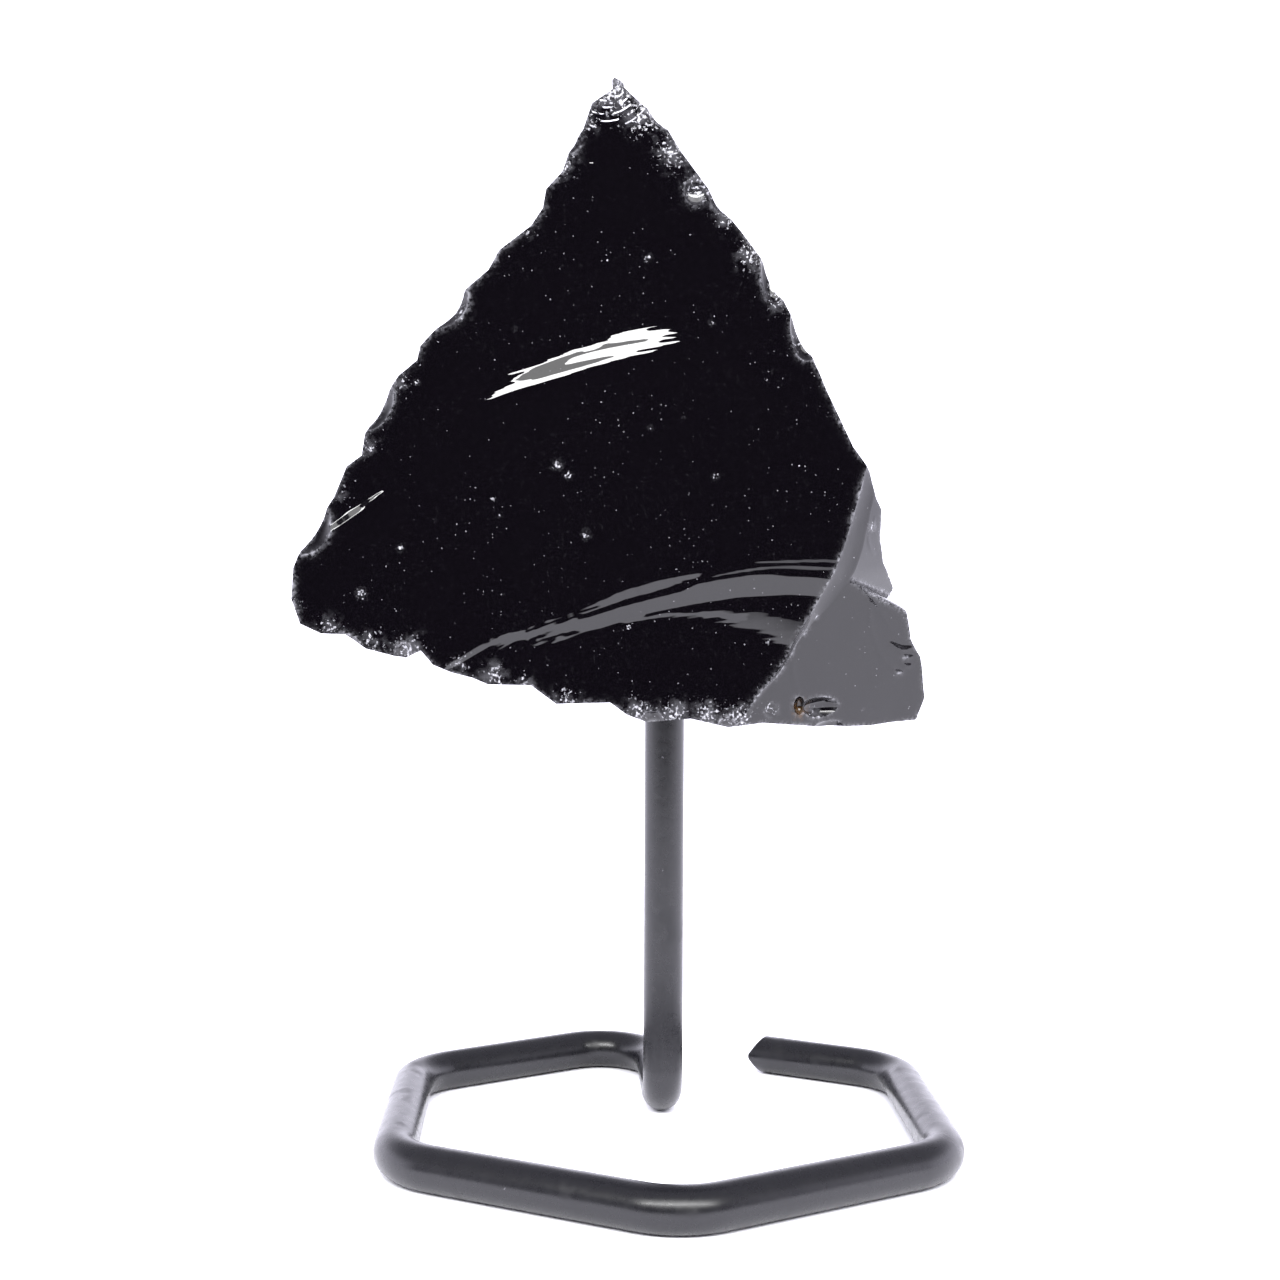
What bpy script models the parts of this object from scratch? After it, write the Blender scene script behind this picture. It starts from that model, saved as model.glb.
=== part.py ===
"""An obsidian chunk standing on a post of black steel rod, whose foot is a bent six-sided ring.

Lengths are in millimetres and are turned into metres by MM. The stone and the rod are worked out about the
post's axis at floor level, then both are moved so that the origin is under the middle of the whole object.
"""

import math
import random

import bmesh
import bpy
from mathutils import Matrix, Vector, noise
from mathutils.bvhtree import BVHTree

MM = 0.001

# The middle of the whole object, measured from the post's foot
MIDDLE = Vector((-3.46, -6.41, 0.0))

# The rod
ROD_RADIUS = 2.0
ROD_SIDES = 16
ROD_AXIS_Z = ROD_RADIUS * math.cos(math.pi / ROD_SIDES)
RING_BEND = 7.0
INNER_BEND = 6.0
ELBOW_BEND = 3.0
POST_TOP = 59.1
CUT_END = Vector((10.0, 17.8, ROD_AXIS_Z))
RING_CORNERS = [
    (24.6, 10.3),
    (25.2, -18.6),
    (1.6, -32.7),
    (-23.5, -20.7),
    (-25.8, 7.3),
    (-1.5, 23.8),
]

# The hole in the stone that the post goes up into
HOLE_RADIUS = 2.3
HOLE_TOP = 59.4

# The stone's outline seen from the front, as (x, z), clockwise from the tip
OUTLINE = [
    (-4.6, 98.6), (-3.5, 98.0), (-2.1, 96.2), (-0.1, 94.6), (1.7, 91.6), (4.1, 88.3), (4.9, 87.0),
    (7.1, 84.3), (8.2, 82.8), (9.2, 81.4), (10.0, 79.7), (13.5, 72.9), (14.7, 69.9), (17.1, 64.7),
    (18.6, 62.5), (19.2, 60.1), (19.6, 59.1), (19.3, 56.5), (19.7, 54.3), (20.9, 51.9), (21.0, 51.3),
    (21.2, 50.5), (22.1, 47.4), (23.0, 45.8), (23.3, 42.0), (22.4, 40.1), (14.3, 39.6), (8.8, 39.8),
    (5.7, 39.4), (2.3, 40.2), (-1.7, 39.9), (-3.5, 40.6), (-5.0, 41.7), (-9.9, 41.6),
    (-12.2, 43.3), (-16.1, 43.4), (-17.5, 44.0), (-19.4, 44.5), (-21.1, 45.2), (-22.2, 46.5),
    (-23.8, 45.8), (-27.2, 46.7),
    (-29.1, 48.0), (-31.3, 48.1), (-33.2, 49.0), (-34.0, 51.3), (-33.8, 54.1), (-32.9, 56.3),
    (-30.1, 60.5), (-28.9, 63.3), (-27.5, 64.3), (-27.2, 66.2), (-25.7, 69.2), (-24.1, 71.5),
    (-22.4, 72.9), (-22.1, 74.2), (-19.1, 77.4), (-18.0, 79.3), (-15.9, 81.1), (-14.9, 82.9),
    (-12.0, 85.1), (-10.9, 86.7), (-10.6, 88.4), (-9.1, 90.0), (-8.4, 92.1), (-7.2, 93.8), (-6.4, 96.1),
]

# The outline is as seen from this eye, at the depth where the front face lies
EYE = Vector((0.0, -160.8, 47.4))
SEEN_AT = -14.0

# The front face is one fracture that ran up from this point below the stone, so its ripples circle it
BLOW_X = 10.2
BLOW_Z = 1.15
# Distance from that point, and the depth of the front face there
FACE_PROFILE = [
    (0.0, -13.6), (30.0, -14.4), (38.5, -14.75), (44.0, -14.8), (46.8, -14.7), (48.2, -14.95),
    (49.8, -14.9), (50.4, -14.98), (52.6, -15.4), (53.6, -15.38), (57.0, -15.1), (62.0, -14.85),
    (66.5, -14.7), (68.6, -14.72), (70.2, -14.64), (73.0, -14.45), (75.0, -14.5), (79.0, -14.4),
    (86.0, -14.28), (92.0, -14.16), (100.0, -14.05), (130.0, -13.6),
]

# The splinter's strip at the lower right: the x of its left and right edge, and the depth of its right edge,
# at a few heights
STRIP_LEFT = [
    (37.0, 4.9), (41.5, 7.7), (44.9, 10.4), (47.6, 11.8), (49.0, 12.7), (51.9, 14.4), (54.0, 15.5),
    (59.2, 17.2), (62.8, 18.2), (68.0, 19.7),
]
STRIP_RIGHT = [
    (37.0, 5.4), (41.4, 8.3), (45.6, 11.2), (47.4, 12.3), (49.0, 13.6), (50.4, 15.0), (52.2, 16.4),
    (54.0, 17.5), (57.4, 18.4), (62.3, 19.5), (68.0, 20.9),
]
STRIP_DEPTH = [
    (37.0, -14.55), (41.4, -14.48), (45.6, -14.1), (49.0, -13.85), (53.1, -13.2), (57.4, -13.3),
    (62.3, -13.2), (68.0, -13.0),
]
# Beyond the strip a wide low break and a small steep high one drop back to the right, with a step between
LOW_BREAK_SLOPE = 0.453
HIGH_BREAK_SLOPE = 1.28

# The stone hangs a touch askew on its post: it is worked out upright, then turned about this place
STONE_TURN = math.radians(-0.57)
STONE_PIVOT = Vector((-2.3, 0.0, 47.4))

# How the stone narrows behind its sharp front edge: share of the depth, share of the width, height it narrows
# to, and how many times the outline is smoothed there
BACK_DEPTH = 9.5
BACK_X = 0.5
TAPER = [
    (0.13, 0.91, 49.4, 1),
    (0.34, 0.77, 48.9, 4),
    (0.58, 0.60, 48.9, 10),
    (0.80, 0.41, 49.4, 20),
    (0.94, 0.25, 49.9, 30),
    (1.0, 0.12, 50.4, 30),
]
RIM = 0.35

# Flakes that came off the back: the way out to each from the stone's middle, how far round it leans, its
# radii along and across, how curved it is, and how deep it cut
HEART = Vector((0.5, -7.0, 53.5))
FLAKES = [
    ("back_flake_left", (-1.0, 0.9, 0.25), 0.3, 44, 26, 24, 2.6),
    ("back_flake_right", (1.0, 0.9, 0.35), -0.3, 46, 26, 26, 2.6),
    ("back_flake_top", (-0.15, 0.75, 1.0), 0.1, 34, 24, 20, 2.4),
    ("back_flake_low", (-0.75, 0.9, -0.35), 0.9, 30, 22, 18, 2.2),
    ("back_flake_mid", (0.45, 1.1, -0.15), -0.9, 26, 20, 16, 1.6),
    ("under_flake_left", (-0.9, 0.35, -0.62), 0.2, 26, 20, 18, 1.8),
    ("under_flake_right", (0.9, 0.55, -0.75), -0.2, 24, 20, 18, 1.8),
    ("left_flake_high", (-0.75, 0.35, 0.95), 0.7, 20, 13, 12, 1.5),
    ("left_flake_mid", (-1.1, 0.35, 0.45), 0.9, 17, 12, 10, 1.4),
    ("left_flake_low", (-1.3, 0.3, 0.05), 1.3, 15, 12, 9, 1.4),
    ("right_flake_high", (0.45, 0.4, 1.0), -0.7, 19, 13, 12, 1.4),
    ("right_flake_mid", (0.85, 0.45, 0.6), -0.9, 16, 11, 10, 1.3),
    ("right_flake_low", (1.0, 0.5, 0.1), -1.2, 14, 11, 9, 1.3),
    ("back_ridge_chip", (-0.05, 1.1, 0.2), 0.4, 10, 8, 6, 1.1),
    ("back_foot_chip", (0.25, 1.0, -0.75), 0.2, 11, 8, 7, 1.1),
    ("back_tip_chip", (-0.2, 0.42, 1.3), 0.0, 10, 7, 7, 0.9),
]


# Scene, collections and materials


def start_clean():
    for old in list(bpy.data.objects):
        bpy.data.objects.remove(old)


def new_collection(name, hidden=False):
    made = bpy.data.collections.new(name)
    made.hide_render = hidden
    bpy.context.scene.collection.children.link(made)
    return made


def new_material(name, colour, roughness, metallic=0.0):
    made = bpy.data.materials.new(name)
    made.use_nodes = True
    shader = made.node_tree.nodes["Principled BSDF"]
    shader.inputs["Base Color"].default_value = (*colour, 1.0)
    shader.inputs["Roughness"].default_value = roughness
    shader.inputs["Metallic"].default_value = metallic
    made.diffuse_color = (*colour, 1.0)
    return made


def new_object(name, mesh, collection):
    made = bpy.data.objects.new(name, mesh)
    collection.objects.link(made)
    return made


def mesh_of(name, shape):
    """A mesh in metres about the object's origin, from a bmesh in millimetres about the post's foot."""
    bmesh.ops.transform(
        shape,
        matrix=Matrix.Scale(MM, 4) @ Matrix.Translation(-MIDDLE),
        verts=shape.verts,
    )
    bmesh.ops.recalc_face_normals(shape, faces=shape.faces)
    mesh = bpy.data.meshes.new(name)
    shape.to_mesh(mesh)
    shape.free()
    return mesh


def stone_mesh(name, shape):
    """The same for the stone and what cuts it, which are turned a touch."""
    turn = (
        Matrix.Translation(STONE_PIVOT)
        @ Matrix.Rotation(STONE_TURN, 4, "Y")
        @ Matrix.Translation(-STONE_PIVOT)
    )
    bmesh.ops.transform(shape, matrix=turn, verts=shape.verts)
    return mesh_of(name, shape)


# Cutting


def as_cutter(obj):
    obj.hide_render = True
    obj.display_type = "WIRE"
    return obj


def cut(target, cutter):
    """Take the cutter's shape out of the target."""
    step = target.modifiers.new("cut_" + cutter.name, "BOOLEAN")
    step.operation = "DIFFERENCE"
    step.solver = "EXACT"
    step.object = cutter


def sphere_cutter(name, centre, radii, turn, subdivisions, cutters):
    """A squashed ball: radii along its own axes, its third axis turned to point along turn."""
    shape = bmesh.new()
    bmesh.ops.create_icosphere(shape, subdivisions=subdivisions, radius=1.0)
    place = (
        Matrix.Translation(Vector(centre))
        @ Vector(turn).to_track_quat("Z", "Y").to_matrix().to_4x4()
        @ Matrix.Diagonal((*radii, 1.0))
    )
    bmesh.ops.transform(shape, matrix=place, verts=shape.verts)
    return as_cutter(new_object(name, stone_mesh(name, shape), cutters))


def slab_cutter(name, point, normal, cutters, size, thick):
    """A thick plate whose lower face lies at point, looking against normal: it takes off what is beyond."""
    shape = bmesh.new()
    bmesh.ops.create_cube(shape, size=1.0)
    place = (
        Matrix.Translation(Vector(point))
        @ Vector(normal).to_track_quat("Z", "Y").to_matrix().to_4x4()
        @ Matrix.Translation((0, 0, thick / 2))
        @ Matrix.Diagonal((size, size, thick, 1.0))
    )
    bmesh.ops.transform(shape, matrix=place, verts=shape.verts)
    return as_cutter(new_object(name, mesh_of(name, shape), cutters))


def cylinder_cutter(name, radius, low, high, cutters):
    shape = bmesh.new()
    bmesh.ops.create_cone(
        shape, cap_ends=True, segments=32, radius1=radius, radius2=radius, depth=high - low
    )
    bmesh.ops.translate(shape, vec=(0, 0, (low + high) / 2), verts=shape.verts)
    return as_cutter(new_object(name, mesh_of(name, shape), cutters))


# The rod


def rounded_path(points, bends):
    """The points joined by straight runs, each inner corner rounded to its bend radius."""
    path = [points[0]]
    for before, corner, after, radius in zip(points, points[1:], points[2:], bends):
        back = (before - corner).normalized()
        on = (after - corner).normalized()
        half = back.angle(on) / 2
        reach = radius / math.tan(half)
        centre = corner + (back + on).normalized() * (radius / math.sin(half))
        start = corner + back * reach - centre
        end = corner + on * reach - centre
        axis = start.cross(end).normalized()
        sweep = start.angle(end)
        steps = max(3, round(math.degrees(sweep) / 12))
        for i in range(steps + 1):
            path.append(centre + Matrix.Rotation(sweep * i / steps, 3, axis) @ start)
    path.append(points[-1])
    return path


def build_rod(collection, cutters):
    corners = [Vector((x, y, ROD_AXIS_Z)) for x, y in RING_CORNERS]
    foot = Vector((0, 0, ROD_AXIS_Z))
    end_way = (corners[-1] - corners[0]).normalized()
    tip = CUT_END - end_way * 0.12
    points = [tip, *corners, foot, Vector((0, 0, POST_TOP))]
    bends = [RING_BEND] * (len(corners) - 1) + [INNER_BEND, ELBOW_BEND]
    path = rounded_path(points, bends)

    curve = bpy.data.curves.new("rod_path", "CURVE")
    curve.dimensions = "3D"
    curve.twist_mode = "MINIMUM"
    curve.bevel_depth = ROD_RADIUS * MM
    curve.bevel_resolution = (ROD_SIDES - 4) // 2
    curve.use_fill_caps = True
    line = curve.splines.new("POLY")
    line.points.add(len(path) - 1)
    for knot, place in zip(line.points, path):
        knot.co = (*((place - MIDDLE) * MM), 1.0)
        knot.tilt = math.pi / ROD_SIDES
    guide = new_object("rod_guide", curve, cutters)
    bpy.context.view_layer.update()
    mesh = bpy.data.meshes.new_from_object(
        guide.evaluated_get(bpy.context.evaluated_depsgraph_get())
    )
    bpy.data.objects.remove(guide)
    shape = bmesh.new()
    shape.from_mesh(mesh)
    bmesh.ops.remove_doubles(shape, verts=shape.verts, dist=1e-6)
    bmesh.ops.recalc_face_normals(shape, faces=shape.faces)
    shape.to_mesh(mesh)
    shape.free()
    mesh.name = "stand_rod"
    rod = new_object("stand_rod", mesh, collection)

    # The side cutters pinched the rod's end to a blunt edge
    for name, up in (("pinch_top", 0.545), ("pinch_bottom", -0.545)):
        normal = end_way * 0.838 + Vector((0, 0, up))
        plate = slab_cutter(name, CUT_END, normal, cutters, size=9.0, thick=5.0)
        cut(rod, plate)
    for face in mesh.polygons:
        face.use_smooth = True
    return rod


# The stone


def read_off(table, where):
    """A straight reading between the rows of a small table."""
    for (a, ya), (b, yb) in zip(table, table[1:]):
        if where <= b:
            return ya + (yb - ya) * max(0.0, where - a) / (b - a)
    return table[-1][1]


def front_depth(x, z):
    return read_off(FACE_PROFILE, math.hypot(x - BLOW_X, z - BLOW_Z))


def right_depth(x, z):
    """Depth of the broken right side: the strip, then the wide low break or the steep high one."""
    left, right = read_off(STRIP_LEFT, z), read_off(STRIP_RIGHT, z)
    foot = read_off(STRIP_DEPTH, z)
    if x < left:
        return -20.0
    if x < right:
        start = front_depth(left, z) - 0.06
        u = (x - left) / (right - left)
        return start + (foot - start) * (1.3 * u - 0.3 * u * u)
    step = 52.95 - 0.3 * (x - 17.2)
    rise = max(0.0, min(1.0, (z - step + 0.5) / 0.5))
    slope = LOW_BREAK_SLOPE + (HIGH_BREAK_SLOPE - LOW_BREAK_SLOPE) * rise
    return foot + slope * (x - right)


def face_depth(x, z):
    return max(front_depth(x, z), right_depth(x, z))


def in_sight(x, z):
    """An outline point, pushed out along its line of sight to where the face really lies."""
    depth = face_depth(x, z)
    stretch = (depth - EYE.y) / (SEEN_AT - EYE.y)
    return Vector((EYE.x + (x - EYE.x) * stretch, depth, EYE.z + (z - EYE.z) * stretch))


def smoothed(points, times):
    """The closed outline with each point drawn towards its neighbours."""
    for _ in range(times):
        shifted = zip(points[-1:] + points[:-1], points, points[1:] + points[:1])
        points = [(a + b * 2 + c) / 4 for a, b, c in shifted]
    return points


def build_blank():
    """The rough shape in millimetres: the outline, drawn back from its front edge towards a ridge behind."""
    shape = bmesh.new()
    edge = [in_sight(x, z) + Vector((0, RIM, 0)) for x, z in OUTLINE]
    rings = [[Vector((p.x, -20.0, p.z)) for p in edge], edge]
    for deep, wide, level, times in TAPER:
        ring = []
        for p in smoothed(edge, times):
            x = BACK_X + (p.x - BACK_X) * wide
            y = p.y + (BACK_DEPTH - p.y) * deep
            z = level + (p.z - level) * wide
            bump = noise.noise(Vector((x, y, z)) * 0.09) * 1.6 * min(1.0, deep * 3)
            ring.append(Vector((x, y + bump, z)))
        rings.append(ring)
    rings = [[shape.verts.new(p) for p in ring] for ring in rings]
    count = len(OUTLINE)
    for near, far in zip(rings, rings[1:]):
        for i in range(count):
            j = (i + 1) % count
            shape.faces.new((near[i], near[j], far[j], far[i]))
    shape.faces.new(rings[0])
    shape.faces.new(list(reversed(rings[-1])))
    bmesh.ops.triangulate(shape, faces=shape.faces)
    bmesh.ops.recalc_face_normals(shape, faces=shape.faces)
    return shape


def flake_cutter(name, surface, way, lean, along, across, round_to, depth, cutters):
    """A squashed ball set over the surface so that it takes off a flake of the given depth."""
    place, normal, _, _ = surface.ray_cast(HEART, Vector(way))
    centre = place + normal * (round_to - depth)
    turn = normal.to_track_quat("Z", "Y").to_matrix() @ Matrix.Rotation(lean, 3, "Z")
    shape = bmesh.new()
    bmesh.ops.create_icosphere(shape, subdivisions=5 if along > 20 else 4, radius=1.0)
    squash = Matrix.Diagonal((across, along, round_to, 1.0))
    bmesh.ops.transform(
        shape, matrix=Matrix.Translation(centre) @ turn.to_4x4() @ squash, verts=shape.verts
    )
    return as_cutter(new_object(name, stone_mesh(name, shape), cutters))


def right_cutter(cutters):
    """Everything in front of the broken right side: a grid whose columns follow the strip's two edges."""
    shape = bmesh.new()
    levels = [37.5, 40.0, 42.5, 45.0, 47.0, 48.5, 50.0, 51.0, 51.6, 52.0, 52.4, 52.8, 53.2]
    levels += [54.5, 56.0, 58.0, 60.5, 63.5, 67.0]
    layers = []
    for front in (False, True):
        layer = []
        for z in levels:
            left, right = read_off(STRIP_LEFT, z), read_off(STRIP_RIGHT, z)
            across = [left + (right - left) * u / 3 for u in range(4)]
            across += [right + (29.0 - right) * u for u in (0.1, 0.2, 0.3, 0.45, 0.6, 1.0)]
            row = []
            for x in across:
                depth = -30.0 if front else right_depth(x + 1e-6, z)
                row.append(shape.verts.new((x, depth, z)))
            layer.append(row)
        layers.append(layer)
    rows, columns = len(levels), 10
    for layer in layers:
        for i in range(rows - 1):
            for j in range(columns - 1):
                corners = (layer[i][j], layer[i][j + 1], layer[i + 1][j + 1], layer[i + 1][j])
                shape.faces.new(corners)
    rim = [(0, j) for j in range(columns)] + [(i, columns - 1) for i in range(1, rows)]
    rim += [(rows - 1, j) for j in range(columns - 2, -1, -1)] + [(i, 0) for i in range(rows - 2, 0, -1)]
    back, near = layers
    for (i, j), (k, m) in zip(rim, rim[1:] + rim[:1]):
        shape.faces.new((back[i][j], back[k][m], near[k][m], near[i][j]))
    bmesh.ops.triangulate(shape, faces=shape.faces)
    return as_cutter(new_object("right_break", stone_mesh("right_break", shape), cutters))


def face_cutter(cutters):
    """Everything in front of the front face, turned about the fracture's own axis."""
    shape = bmesh.new()
    profile = [(0.0, 45.0), (130.0, 45.0)]
    profile += [(away, -depth) for away, depth in reversed(FACE_PROFILE)]
    knots = [shape.verts.new((away, 0.0, height)) for away, height in profile]
    for a, b in zip(knots, knots[1:]):
        shape.edges.new((a, b))
    bmesh.ops.spin(
        shape,
        geom=shape.verts[:] + shape.edges[:],
        axis=(0, 0, 1),
        cent=(0, 0, 0),
        angle=math.tau,
        steps=120,
        use_merge=True,
    )
    bmesh.ops.remove_doubles(shape, verts=shape.verts, dist=1e-5)
    place = Matrix.Translation((BLOW_X, 0, BLOW_Z)) @ Matrix.Rotation(math.pi / 2, 4, "X")
    bmesh.ops.transform(shape, matrix=place, verts=shape.verts)
    return as_cutter(new_object("front_fracture", stone_mesh("front_fracture", shape), cutters))


def build_stone(collection, cutters):
    blank = build_blank()
    surface = BVHTree.FromBMesh(blank)
    stone = new_object("obsidian_chunk", stone_mesh("obsidian_chunk", blank), collection)
    for name, way, lean, along, across, round_to, depth in FLAKES:
        cutter = flake_cutter(
            name, surface, way, lean, along, across, round_to, depth, cutters
        )
        cut(stone, cutter)

    cut(stone, face_cutter(cutters))
    cut(stone, right_cutter(cutters))

    # Small flakes along the edges
    scars = [
        ("tip_scar_left", (-9.6, -15.6, 92.7), (3.4, 2.2, 2.0)),
        ("tip_scar_right", (1.4, -15.0, 95.5), (3.0, 2.4, 2.2)),
        ("tip_scar_high", (-6.4, -14.6, 98.9), (2.4, 2.0, 1.8)),
        ("left_scar_high", (-21.8, -15.4, 78.5), (4.6, 2.4, 3.4)),
        ("left_scar_mid", (-27.4, -15.6, 69.7), (3.4, 2.2, 3.8)),
        ("left_scar_low", (-33.2, -16.0, 58.5), (3.8, 2.4, 4.0)),
        ("right_scar_high", (7.0, -15.2, 87.9), (3.2, 2.2, 2.8)),
        ("right_scar_mid", (15.6, -15.6, 74.0), (2.6, 2.2, 3.6)),
        ("foot_scar_left", (-25.0, -16.6, 42.7), (5.2, 2.8, 3.4)),
        ("foot_scar_mid", (-12.0, -16.8, 39.7), (4.6, 2.8, 3.6)),
        ("foot_scar_centre", (-3.0, -16.9, 37.9), (4.0, 3.0, 3.2)),
        ("foot_scar_right", (5.2, -16.9, 37.1), (4.6, 3.0, 3.4)),
        ("corner_scar", (16.6, -12.4, 37.1), (4.2, 3.0, 3.4)),
    ]
    for name, centre, radii in scars:
        cut(stone, sphere_cutter(name, centre, radii, (0, 0, 1), 3, cutters))

    # The edge is nibbled from behind, a little differently at every step round the outline
    chance = random.Random(7)
    for i, (x, z) in enumerate(OUTLINE):
        if i < 2 or chance.random() < 0.6:
            continue
        start = Vector((BACK_X, face_depth(x, z) + chance.uniform(1.3, 1.9), 51.4))
        way = Vector((x, start.y, z)) - start
        place, normal, _, _ = surface.ray_cast(start, way)
        size = chance.uniform(1.8, 5.5)
        centre = place + normal * (size - chance.uniform(0.35, 0.9))
        radii = (size * chance.uniform(0.9, 1.3), size * chance.uniform(0.9, 1.3), size)
        cut(stone, sphere_cutter(f"edge_nibble_{i:02d}", centre, radii, normal, 3, cutters))

    cut(stone, cylinder_cutter("post_hole", HOLE_RADIUS, 30.0, HOLE_TOP, cutters))
    return stone


start_clean()
object_parts = new_collection("obsidian_chunk_on_stand")
cutting_shapes = new_collection("cutting_shapes", hidden=True)
glass = new_material("volcanic_glass", (0.012, 0.012, 0.014), 0.06)
coat = new_material("black_powder_coat", (0.018, 0.018, 0.02), 0.42)
chunk = build_stone(object_parts, cutting_shapes)
chunk.data.materials.append(glass)
stand = build_rod(object_parts, cutting_shapes)
stand.data.materials.append(coat)
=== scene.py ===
# %% [markdown]
# # An obsidian chunk on a bent rod stand
# The real object is one broken piece of volcanic glass with a hole drilled up into its thick lower part, set
# on a post. The post and its flat six-sided foot are one piece of 4 mm steel rod, bent cold and powder-coated
# black. This lesson gives the plain solids of both their finish: the glass gets the ripples, flakes and
# crushed edges that broken glass has, and the rod gets its true roundness and its coating.

# %% Load the frame
import math
import random

import bmesh
import bpy
from mathutils import Matrix, Vector, noise
from mathutils.bvhtree import BVHTree
from mathutils.kdtree import KDTree


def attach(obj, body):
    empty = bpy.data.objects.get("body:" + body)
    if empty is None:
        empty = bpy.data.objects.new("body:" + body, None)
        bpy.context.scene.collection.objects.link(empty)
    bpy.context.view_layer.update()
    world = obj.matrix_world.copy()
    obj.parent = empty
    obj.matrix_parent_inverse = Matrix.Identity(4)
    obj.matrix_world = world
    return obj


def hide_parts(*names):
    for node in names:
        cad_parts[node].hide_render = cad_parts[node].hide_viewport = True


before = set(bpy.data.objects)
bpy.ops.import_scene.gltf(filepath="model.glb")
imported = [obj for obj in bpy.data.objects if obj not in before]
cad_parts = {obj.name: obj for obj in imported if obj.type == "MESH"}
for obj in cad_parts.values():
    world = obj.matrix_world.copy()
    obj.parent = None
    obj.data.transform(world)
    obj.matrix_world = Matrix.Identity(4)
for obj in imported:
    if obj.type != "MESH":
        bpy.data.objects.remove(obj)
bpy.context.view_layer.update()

# %% [markdown]
# Everything below is measured in millimetres from the post's foot, as one would measure it on the table.
# Blender works in metres, and the frame's origin is under the middle of the whole object, so one small
# function turns a measured place into a place in the scene.

# %% Measuring
MM = 0.001
POST_FOOT = Vector((3.46, 6.41, 0.0))


def at(x, y, z):
    """A place measured from the post's foot in millimetres, as a place in the scene in metres."""
    return (Vector((x, y, z)) + POST_FOOT) * MM


def select_only(piece):
    bpy.ops.object.select_all(action="DESELECT")
    piece.select_set(True)
    bpy.context.view_layer.objects.active = piece


def settle(piece):
    """Put the object's own place, turn and size into its mesh."""
    select_only(piece)
    bpy.ops.object.transform_apply(location=True, rotation=True, scale=True)


def volume_of(piece):
    """The piece's volume in cubic millimetres, negative if its faces point inwards."""
    shape = bmesh.new()
    shape.from_mesh(piece.data)
    volume = shape.calc_volume(signed=True) * 1e9
    shape.free()
    return volume


def face_outwards(piece):
    select_only(piece)
    bpy.ops.object.mode_set(mode="EDIT")
    bpy.ops.mesh.select_all(action="SELECT")
    bpy.ops.mesh.normals_make_consistent(inside=False)
    bpy.ops.object.mode_set(mode="OBJECT")
    if volume_of(piece) < 0:
        bpy.ops.object.mode_set(mode="EDIT")
        bpy.ops.mesh.flip_normals()
        bpy.ops.object.mode_set(mode="OBJECT")


# %% [markdown]
# ## The rod
# The stand is bent from one rod. By hand it would be clamped and pulled round a former at each corner, so the
# mesh is made the same way: a round end face is pushed straight on along each run with an extrude, and swung
# round a centre with a spin at each bend. The bends are as tight as the photo shows them, and the run that
# comes in along the floor turns up into the post.

# %% The rod's line
ROD_RADIUS = 1.96
ROD_AXIS_Z = 1.96
RING_BEND = 7.0
INNER_BEND = 6.0
ELBOW_BEND = 3.0
POST_TOP = 59.1
CUT_END = Vector((10.0, 17.8, ROD_AXIS_Z))
RING_CORNERS = [
    (24.6, 10.3),
    (25.2, -18.6),
    (1.6, -32.7),
    (-23.5, -20.7),
    (-25.8, 7.3),
    (-1.5, 23.8),
]
corners = [Vector((x, y, ROD_AXIS_Z)) for x, y in RING_CORNERS]
TIP = CUT_END + (corners[0] - corners[-1]).normalized() * 0.12
rod_points = [TIP, *corners, Vector((0, 0, ROD_AXIS_Z)), Vector((0, 0, POST_TOP))]
rod_bends = [RING_BEND] * 5 + [INNER_BEND, ELBOW_BEND]


def bend_facts(before, corner, after, radius):
    """Where a bend starts, its centre, the axis it turns about and its angle."""
    back = (before - corner).normalized()
    on = (after - corner).normalized()
    half = back.angle(on) / 2
    start = corner + back * (radius / math.tan(half))
    centre = corner + (back + on).normalized() * (radius / math.sin(half))
    return start, centre, on.cross(back).normalized(), math.pi - 2 * half


# %% Bend the rod
def end_verts(shape):
    return [v for v in shape.verts if v.select]


def push_to(place):
    """Extrude the rod's free end straight on until its middle is at the place."""
    shape = bmesh.from_edit_mesh(bpy.context.edit_object.data)
    loose = end_verts(shape)
    middle = sum((v.co for v in loose), Vector()) / len(loose)
    bpy.ops.mesh.extrude_region_move(TRANSFORM_OT_translate={"value": at(*place) - middle})


first_way = (corners[0] - corners[-1]).normalized()
bpy.ops.object.select_all(action="DESELECT")
bpy.ops.mesh.primitive_circle_add(
    vertices=48, radius=ROD_RADIUS * MM, fill_type="NGON", location=at(*TIP)
)
rod = bpy.context.object
rod.name = "bent_rod"
rod.rotation_mode = "QUATERNION"
rod.rotation_quaternion = first_way.to_track_quat("Z", "Y")
settle(rod)
bpy.ops.object.mode_set(mode="EDIT")
bpy.ops.mesh.select_mode(type="FACE")
bpy.ops.mesh.select_all(action="SELECT")
bpy.ops.mesh.duplicate()
rod_way = first_way
for before, corner, after, radius in zip(rod_points, rod_points[1:], rod_points[2:], rod_bends):
    start, centre, axis, angle = bend_facts(before, corner, after, radius)
    push_to(start)
    bpy.ops.mesh.spin(
        steps=max(6, round(math.degrees(angle) / 4)),
        angle=-angle,
        center=at(*centre),
        axis=axis,
        dupli=False,
        use_auto_merge=False,
    )
push_to(rod_points[-1])
bpy.ops.mesh.select_all(action="SELECT")
bpy.ops.mesh.remove_doubles(threshold=1e-6)
bpy.ops.object.mode_set(mode="OBJECT")
face_outwards(rod)
print("bent rod", len(rod.data.polygons), "faces", [round(1000 * s, 1) for s in rod.dimensions])

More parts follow.
